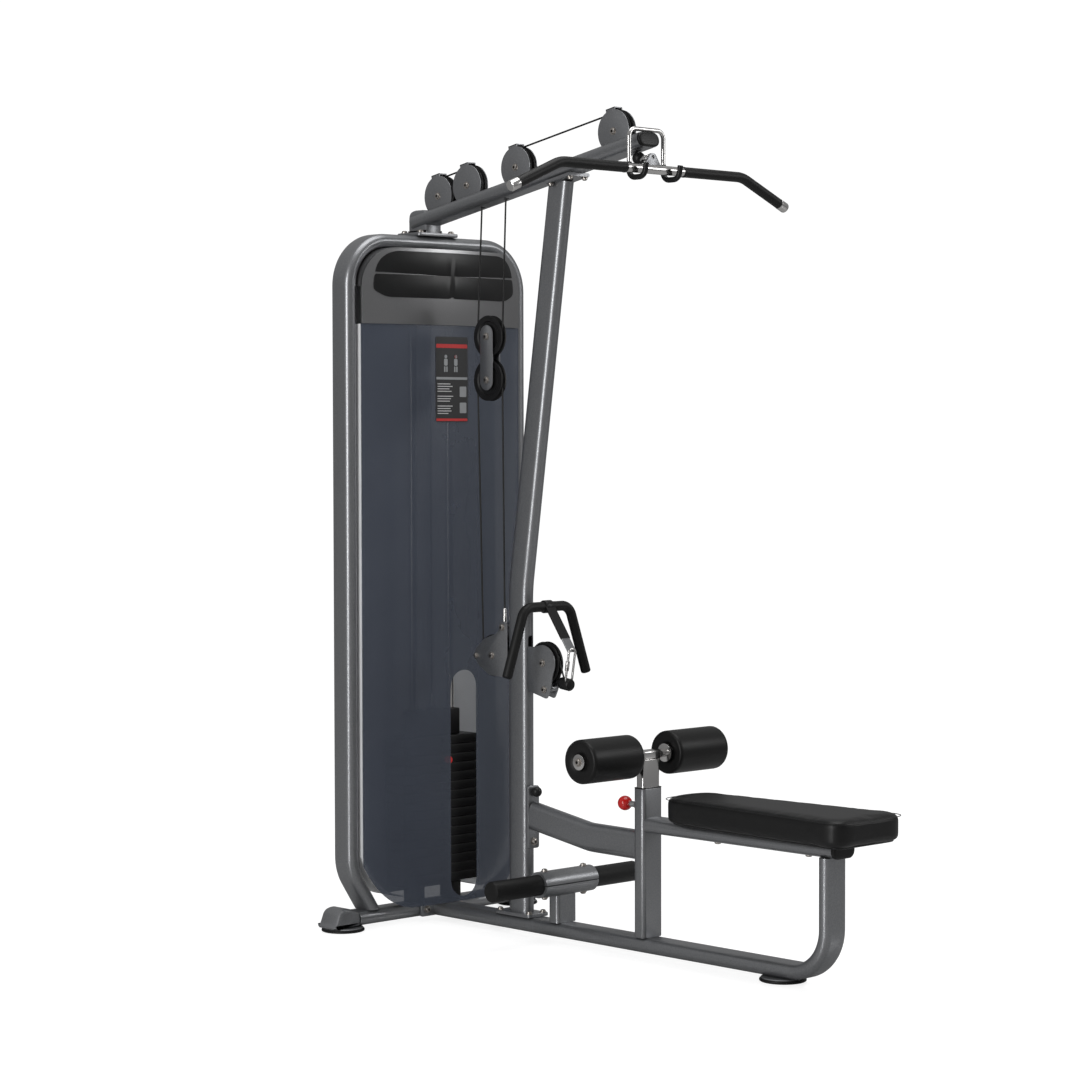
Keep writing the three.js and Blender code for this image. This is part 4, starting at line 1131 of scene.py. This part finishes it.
def make_low_brackets():
    rear_face, front_face = UPRIGHT_X - 40.3, UPRIGHT_X + 40.3
    outline = [(199, 767), (222, 741), (262, 719), (rear_face, 714), (rear_face, 871), (307, 871), (302, 846)]
    outline += [(292, 836), (242, 820), (206, 790)]
    parts = cheeks(outline, 9)
    for x, z, radius, head in ((*REAR_PULLEY, 6, 8.5), (209, 771, 4, 6.5), (317, 855, 6, 8)):
        parts.append(through(x, z, radius, 15))
        axle_bolt("frame", x, z, 16.5, head)
    steel(join("rear_low_bracket_fine", parts), "rear_low_bracket")
    make_pulley("rear_low_pulley", *REAR_PULLEY, "rear_low_pulley_body")
    ferrule = [(0, 850), (5, 850), (6.2, 853), (6.2, 884), (5, 887), (5, 905), (3.4, 909), (0, 909)]
    wear(lathe("cable_end_fitting", ferrule, (CABLE_END[0], 0, 0), Z_AXIS), CHROME, "frame", "chrome")

    outline = [(front_face, 685), (498, 665), (512, 693), (518, 722), *arc(*FRONT_PULLEY, 50, -25, 105, 16)]
    outline += [(444, 807), (front_face, 807)]
    parts = cheeks(outline, 8)
    parts.append(rod("guide", 8, (504, -12, 694), (504, 12, 694)))
    for x, z, radius, head in ((*FRONT_PULLEY, 6, 8.5), (487, 691, 6, 8)):
        parts.append(through(x, z, radius, 15))
        axle_bolt("frame", x, z, 16.5, head)
    steel(join("front_low_bracket_fine", parts), "front_low_bracket")
    make_pulley("front_low_pulley", *FRONT_PULLEY, "front_low_pulley_body")


# ------------------------------------------------------------------ cables
def tangent_line(a, b):
    """The straight run between two wheels (x, z, radius, turn): its heading and its two ends."""
    dx, dz = b[0] - a[0], b[1] - a[1]
    shift = b[3] * b[2] - a[3] * a[2]
    heading = math.atan2(dz, dx) - math.asin(shift / math.hypot(dx, dz))

    def leave(wheel):
        reach = wheel[3] * wheel[2]
        return (wheel[0] + reach * math.sin(heading), wheel[1] - reach * math.cos(heading))

    return heading, leave(a), leave(b)


def cable_path(stops):
    """Straight runs between stops, and the arcs round the wheels between them."""
    lines = [tangent_line(a, b) for a, b in zip(stops, stops[1:])]
    arcs = []
    for wheel, before, after in zip(stops[1:-1], lines, lines[1:]):
        sweep_angle = (wheel[3] * (after[0] - before[0])) % (2 * math.pi)
        steps = max(2, round(math.degrees(sweep_angle) / 6))
        stations = []
        for k in range(steps + 1):
            heading = before[0] + wheel[3] * sweep_angle * k / steps
            reach = wheel[3] * wheel[2]
            point = Vector((wheel[0] + reach * math.sin(heading), 0, wheel[1] - reach * math.cos(heading)))
            stations.append((point, Vector((math.cos(heading), 0, math.sin(heading)))))
        arcs.append(stations)
    runs = [(Vector((s[0], 0, s[1])), Vector((e[0], 0, e[1]))) for _, s, e in lines]
    return runs, arcs


def run_stations(run, steps=24):
    start, end = run
    heading = (end - start).normalized()
    return [(start.lerp(end, k / steps), heading) for k in range(steps + 1)]


def cable_piece(name, stations, *nodes):
    tube = sweep(name, circle(CABLE_R, steps=12), stations, Y_AXIS, 60)
    tube.data.materials.append(GLOSS)
    if nodes:
        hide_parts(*nodes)
    return tube


def fixed_cable(name, stations, body, *nodes):
    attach(cable_piece(name, stations, *nodes), body)


def running_cable(name, run, body_a, body_b, *nodes):
    """A straight run of cable from one end of the run to the other."""
    tube = cable_piece(name, run_stations(run), *nodes)
    tuple(place(*run[0]))
    tuple(place(*run[1]))
    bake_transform(tube)


def make_cables():
    r = PULLEY_CABLE_R
    first, second, third, fourth = UPPER_PULLEYS
    ball_x, ball_z, ball_r = LAT_BALL
    stops = [
        (ball_x - 6, ball_z + ball_r - 3, 0, 1),
        (*fourth, r, 1),
        (*third, r, 1),
        (FLOAT_X, FLOAT_HIGH, r, -1),
        (*second, r, 1),
        (*first, r, 1),
        (0, STACK_SPLIT, 0, 1),
    ]
    runs, arcs = cable_path(stops)
    lead, boom_run, to_float, from_float, short, drop = runs
    running_cable("cable_lead_to_bar", (lead[1], lead[0]), "frame", "lat_pull", "upper_cable")
    fixed_cable("cable_over_boom", [*arcs[0], *arcs[1]], "frame")
    running_cable("cable_down_to_block", to_float, "frame", "float_block")
    fixed_cable("cable_round_block", arcs[2], "float_block")
    running_cable("cable_up_from_block", (from_float[1], from_float[0]), "frame", "float_block")
    fixed_cable("cable_over_tower", [*arcs[3], *arcs[4]], "frame")
    running_cable("cable_drop_upper", drop, "frame", "cable_drop")
    low = (Vector((0, 0, STACK_SPLIT)), Vector((0, 0, HEAD_HIGH + 30)))
    running_cable("cable_drop_lower", low, "cable_drop", "carriage", "stack_cable")

    ball_x, ball_z, ball_r = ROW_BALL
    stops = [
        (*CABLE_END, 0, 1),
        (FLOAT_X, FLOAT_LOW, r, 1),
        (*REAR_PULLEY, r, 1),
        (*FRONT_PULLEY, r, -1),
        (ball_x - 8, ball_z + ball_r - 3, 0, 1),
    ]
    runs, arcs = cable_path(stops)
    up, down, across, lead = runs
    running_cable("cable_up_to_block", up, "frame", "float_block", "lower_cable")
    fixed_cable("cable_under_block", arcs[0], "float_block")
    running_cable("cable_down_to_post", (down[1], down[0]), "frame", "float_block")
    fixed_cable("cable_through_post", [*arcs[1], *arcs[2]], "frame")
    running_cable("cable_lead_to_handle", lead, "frame", "row_pull")


# ------------------------------------------------------------------ handles
def link_ring(name, start, end, half_width, radius):
    """A closed snap link lying across the plane of the cables, from one end to the other."""
    start, end = Vector(start), Vector(end)
    along = (end - start).normalized()
    length = (end - start).length
    outline = oval(length, 2 * half_width, half_width - 0.01, length / 2, 0, 8)
    path = [start + along * u + Y_AXIS * v for u, v in outline]
    count = len(path)
    normal = along.cross(Y_AXIS)
    verts = []
    for i, point in enumerate(path):
        ahead = (path[(i + 1) % count] - path[i - 1]).normalized()
        out = ahead.cross(normal)
        for k in range(12):
            a = 2 * math.pi * k / 12
            verts.append(tuple(point + out * radius * math.cos(a) + normal * radius * math.sin(a)))
    faces = []
    for i in range(count):
        j = (i + 1) % count
        faces += [(i * 12 + k, j * 12 + k, j * 12 + (k + 1) % 12, i * 12 + (k + 1) % 12) for k in range(12)]
    gate = start + along * length * 0.5 - Y_AXIS * half_width
    sleeve = rod("gate", radius * 1.7, gate - along * length * 0.14, gate + along * length * 0.14, 0.8, 20)
    return join(name, [obj_from(name, verts, faces, 60), sleeve])


def split_path(stations, y):
    """The stations of a bar that runs along Y, in three parts: below -y, between, and above y."""
    parts = [[], [], []]
    edges = []
    for edge in (-y, y):
        for (a, ta), (b, _) in zip(stations, stations[1:]):
            if a.y <= edge <= b.y:
                edges.append((a.lerp(b, (edge - a.y) / (b.y - a.y)), ta))
                break
    for station in stations:
        place_in = 0 if station[0].y < -y else 1 if station[0].y <= y else 2
        parts[place_in].append(station)
    parts[0].append(edges[0])
    parts[1] = [edges[0], *parts[1], edges[1]]
    parts[2].insert(0, edges[1])
    return parts


def make_lat_bar():
    x, z = 895, 2095
    corners = [(x, -520, 2021), (x, -345, z), (x, 345, z), (x, 520, 2021)]
    left, middle, right = split_path(bent(corners, 100, 3), 112)
    core = sweep("lat_bar_core", circle(12.5, steps=32), middle, X_AXIS)
    plate = rounded([(-34, z + 6), (34, z + 6), (9, z + 44), (-9, z + 44)], 8)
    hole = circle(5.5, 0, z + 34)
    plate = prism("plate", plate, "x", x - 10, x - 4, 0.8)
    plate = carve(plate, prism("hole", hole, "x", x - 20, x + 9))
    steel(plate, body="lat_pull")
    wear(core, CHROME, "lat_pull", "chrome", "lat_bar")
    for name, stations in (("left", left), ("right", right)):
        grip = sweep(f"lat_bar_grip_{name}", circle(14, steps=36), stations, X_AXIS, 50)
        wear(grip, RUBBER, "lat_pull", "rubber")
        outer = stations[0] if name == "left" else stations[-1]
        out = outer[1] * (-1 if name == "left" else 1)
        cap = [(0, 2), (11.5, 2), (13.8, 0.5), (14.6, -2), (14.6, -26), (13.4, -27.5), (0, -27.5)]
        wear(lathe(f"lat_bar_cap_{name}", cap, outer[0], out), CHROME, "lat_pull", "chrome")
        inner = stations[-1] if name == "left" else stations[0]
        collar = rod(f"lat_bar_collar_{name}", 14.6, inner[0] - Y_AXIS * 4, inner[0] + Y_AXIS * 4, 1.2)
        wear(collar, PLASTIC, "lat_pull", "black_plastic")
    bx, bz, br = LAT_BALL
    ball_centre = Vector((bx, 0, bz))
    toward = (Vector((877, 0, 2103)) - ball_centre).normalized()
    ring_start = ball_centre + toward * (br - 4)
    ring = link_ring("lat_snap_link", ring_start, (x - 7, 0, z + 40), 11, 2.8)
    wear(ring, CHROME, "lat_pull", "chrome", "lat_carabiner")
    wear(ball("lat_ball_stop_fine", (bx, 0, bz), br), PLASTIC, "lat_pull", "black_plastic", "lat_ball_stop")


def make_bar_holder():
    x, y, top, low = 866, 65, 2202.2, 2072
    half = [(929, 2106), (923, low), (x, low), (x, top)]
    corners = [(px, -y, pz) for px, pz in half] + [(px, y, pz) for px, pz in reversed(half)]
    stations = bent(corners, 22, 8)
    cradle = sweep("bar_holder_fine", circle(6, steps=20), stations, None, 50, round_ends=2)
    wear(cradle, CHROME, "frame", "chrome", "bar_holder")
    for side, sign in SIDES:
        hook = [(929, sign * y, 2106), (923, sign * y, low), (x, sign * y, low), (x, sign * y, 2112)]
        curve = bent(hook, 22, 8)
        sleeve = sweep(f"holder_sleeve_{side}", circle(7.6, steps=20), curve, Y_AXIS, 50, round_ends=2)
        wear(sleeve, PLASTIC, "frame", "black_plastic")


def make_row_handle():
    x = 482
    corners = [(x, -150, 735), (x, -85, 920), (x, 85, 920), (x, 150, 735)]
    grip = sweep("row_handle_fine", circle(14, steps=32), bent(corners, 40, 5), X_AXIS, 50, round_ends=5)
    wear(grip, RUBBER, "row_pull", "rubber", "row_handle")
    start, end = Vector((490, 0, 926)), Vector((581, 0, 800))
    strap = sweep("strap", oval(34, 7, 2.5), bent([start, start.lerp(end, 0.72)], 1), Y_AXIS)
    clasp = sweep("row_strap_clasp", oval(32, 4, 1.5), bent([start.lerp(end, 0.7), end], 1), Y_AXIS)
    steel(clasp, body="row_pull")
    loop = rod("loop", 18, (x, -15, 920), (x, 15, 920), 2.5, 36)
    wear(join("row_handle_strap", [strap, loop]), PLASTIC, "row_pull", "black_plastic")
    bx, bz, br = ROW_BALL
    ring = link_ring("row_snap_link", (bx + 10, 0, bz + 4), (583, 0, 808), 12, 3.4)
    wear(ring, CHROME, "row_pull", "chrome", "row_link")
    stop = [(0, -22), (11, -22), (15, -19), (17, -14), (17, 16), (15, 19.5), (9, 21), (0, 21)]
    stop = lathe("row_cable_stop", stop, (bx, 0, bz), Vector((1, 0, -0.12)))
    wear(stop, PLASTIC, "row_pull", "black_plastic")


# ------------------------------------------------------------------ studio
def make_studio():
    scene = bpy.context.scene
    scene.view_settings.view_transform = "Standard"
    world = bpy.data.worlds.new("studio")
    scene.world = world
    world.use_nodes = True
    nodes, links = world.node_tree.nodes, world.node_tree.links
    nodes.clear()
    out = nodes.new("ShaderNodeOutputWorld")
    mix = nodes.new("ShaderNodeMixShader")
    seen = nodes.new("ShaderNodeBackground")
    light = nodes.new("ShaderNodeBackground")
    path = nodes.new("ShaderNodeLightPath")
    seen.inputs["Color"].default_value = (1, 1, 1, 1)
    seen.inputs["Strength"].default_value = 1.05
    light.inputs["Strength"].default_value = 0.40
    where = nodes.new("ShaderNodeTexCoord")
    split = nodes.new("ShaderNodeSeparateXYZ")
    ramp = nodes.new("ShaderNodeValToRGB")
    ramp.color_ramp.elements[0].position = 0.35
    ramp.color_ramp.elements[0].color = (0.45, 0.45, 0.46, 1)
    ramp.color_ramp.elements[1].position = 0.9
    ramp.color_ramp.elements[1].color = (1, 1, 1, 1)
    lift = nodes.new("ShaderNodeMapRange")
    lift.inputs["From Min"].default_value = -1.0
    links.new(where.outputs["Generated"], split.inputs["Vector"])
    links.new(split.outputs["Z"], lift.inputs["Value"])
    links.new(lift.outputs["Result"], ramp.inputs["Fac"])
    links.new(ramp.outputs["Color"], light.inputs["Color"])
    links.new(path.outputs["Is Camera Ray"], mix.inputs["Fac"])
    links.new(light.outputs["Background"], mix.inputs[1])
    links.new(seen.outputs["Background"], mix.inputs[2])
    links.new(mix.outputs["Shader"], out.inputs["Surface"])

    def softbox(name, position, target, size, watts):
        lamp = bpy.data.lights.new(name, "AREA")
        lamp.shape = "RECTANGLE"
        lamp.size, lamp.size_y = size
        lamp.energy = watts
        thing = bpy.data.objects.new(name, lamp)
        thing.location = position
        aim = Vector(target) - Vector(position)
        thing.rotation_euler = aim.to_track_quat("-Z", "Y").to_euler()
        thing.visible_camera = False
        scene.collection.objects.link(thing)

    softbox("strip", (0.7, -5.0, 1.9), (0, 0, 1.2), (0.8, 3.6), 110)
    softbox("key", (4.6, 4.2, 3.6), (0, 0, 0.9), (2.0, 2.0), 70)
    softbox("top", (0.4, 0.2, 5.4), (0, 0, 0), (3.5, 3.0), 90)

    far = 30000
    floor_corners = [(-far, -far, 0), (far, -far, 0), (far, far, 0), (-far, far, 0)]
    plane = obj_from("floor", floor_corners, [(0, 1, 2, 3)])
    material = shader("floor_paint", (0.55, 0.55, 0.55), 0.12)
    mottle(material, (0.55, 0.55, 0.55), 0.3, 0.004)
    principled = material.node_tree.nodes["Principled BSDF"]
    glow = node(material, "ShaderNodeEmission", Color=(1, 1, 1, 1), Strength=0.80)
    seen = node(material, "ShaderNodeLightPath")
    both = node(material, "ShaderNodeAddShader")
    choose = node(material, "ShaderNodeMixShader")
    end = material.node_tree.nodes["Material Output"]
    wire(material, principled, "BSDF", both, 0)
    wire(material, glow, "Emission", both, 1)
    wire(material, seen, "Is Camera Ray", choose, "Fac")
    wire(material, principled, "BSDF", choose, 1)
    wire(material, both, "Shader", choose, 2)
    wire(material, choose, "Shader", end, "Surface")
    plane.data.materials.append(material)
    plane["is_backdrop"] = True


make_camera()
make_studio()
make_cables()
make_base()
make_tower_loop()
make_boom()
make_upright()
make_brace()
make_knee_rest()
make_seat()
make_foot_bar()
make_covers()
make_stack()
make_upper_pulleys()
make_float_block()
make_low_brackets()
make_lat_bar()
make_bar_holder()
make_row_handle()
finish_bolts()

boxes = {"cad": CAD_BOX, "visual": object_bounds()}
rows = {key: [list(map(float, corner)) for corner in box] for key, box in boxes.items()}
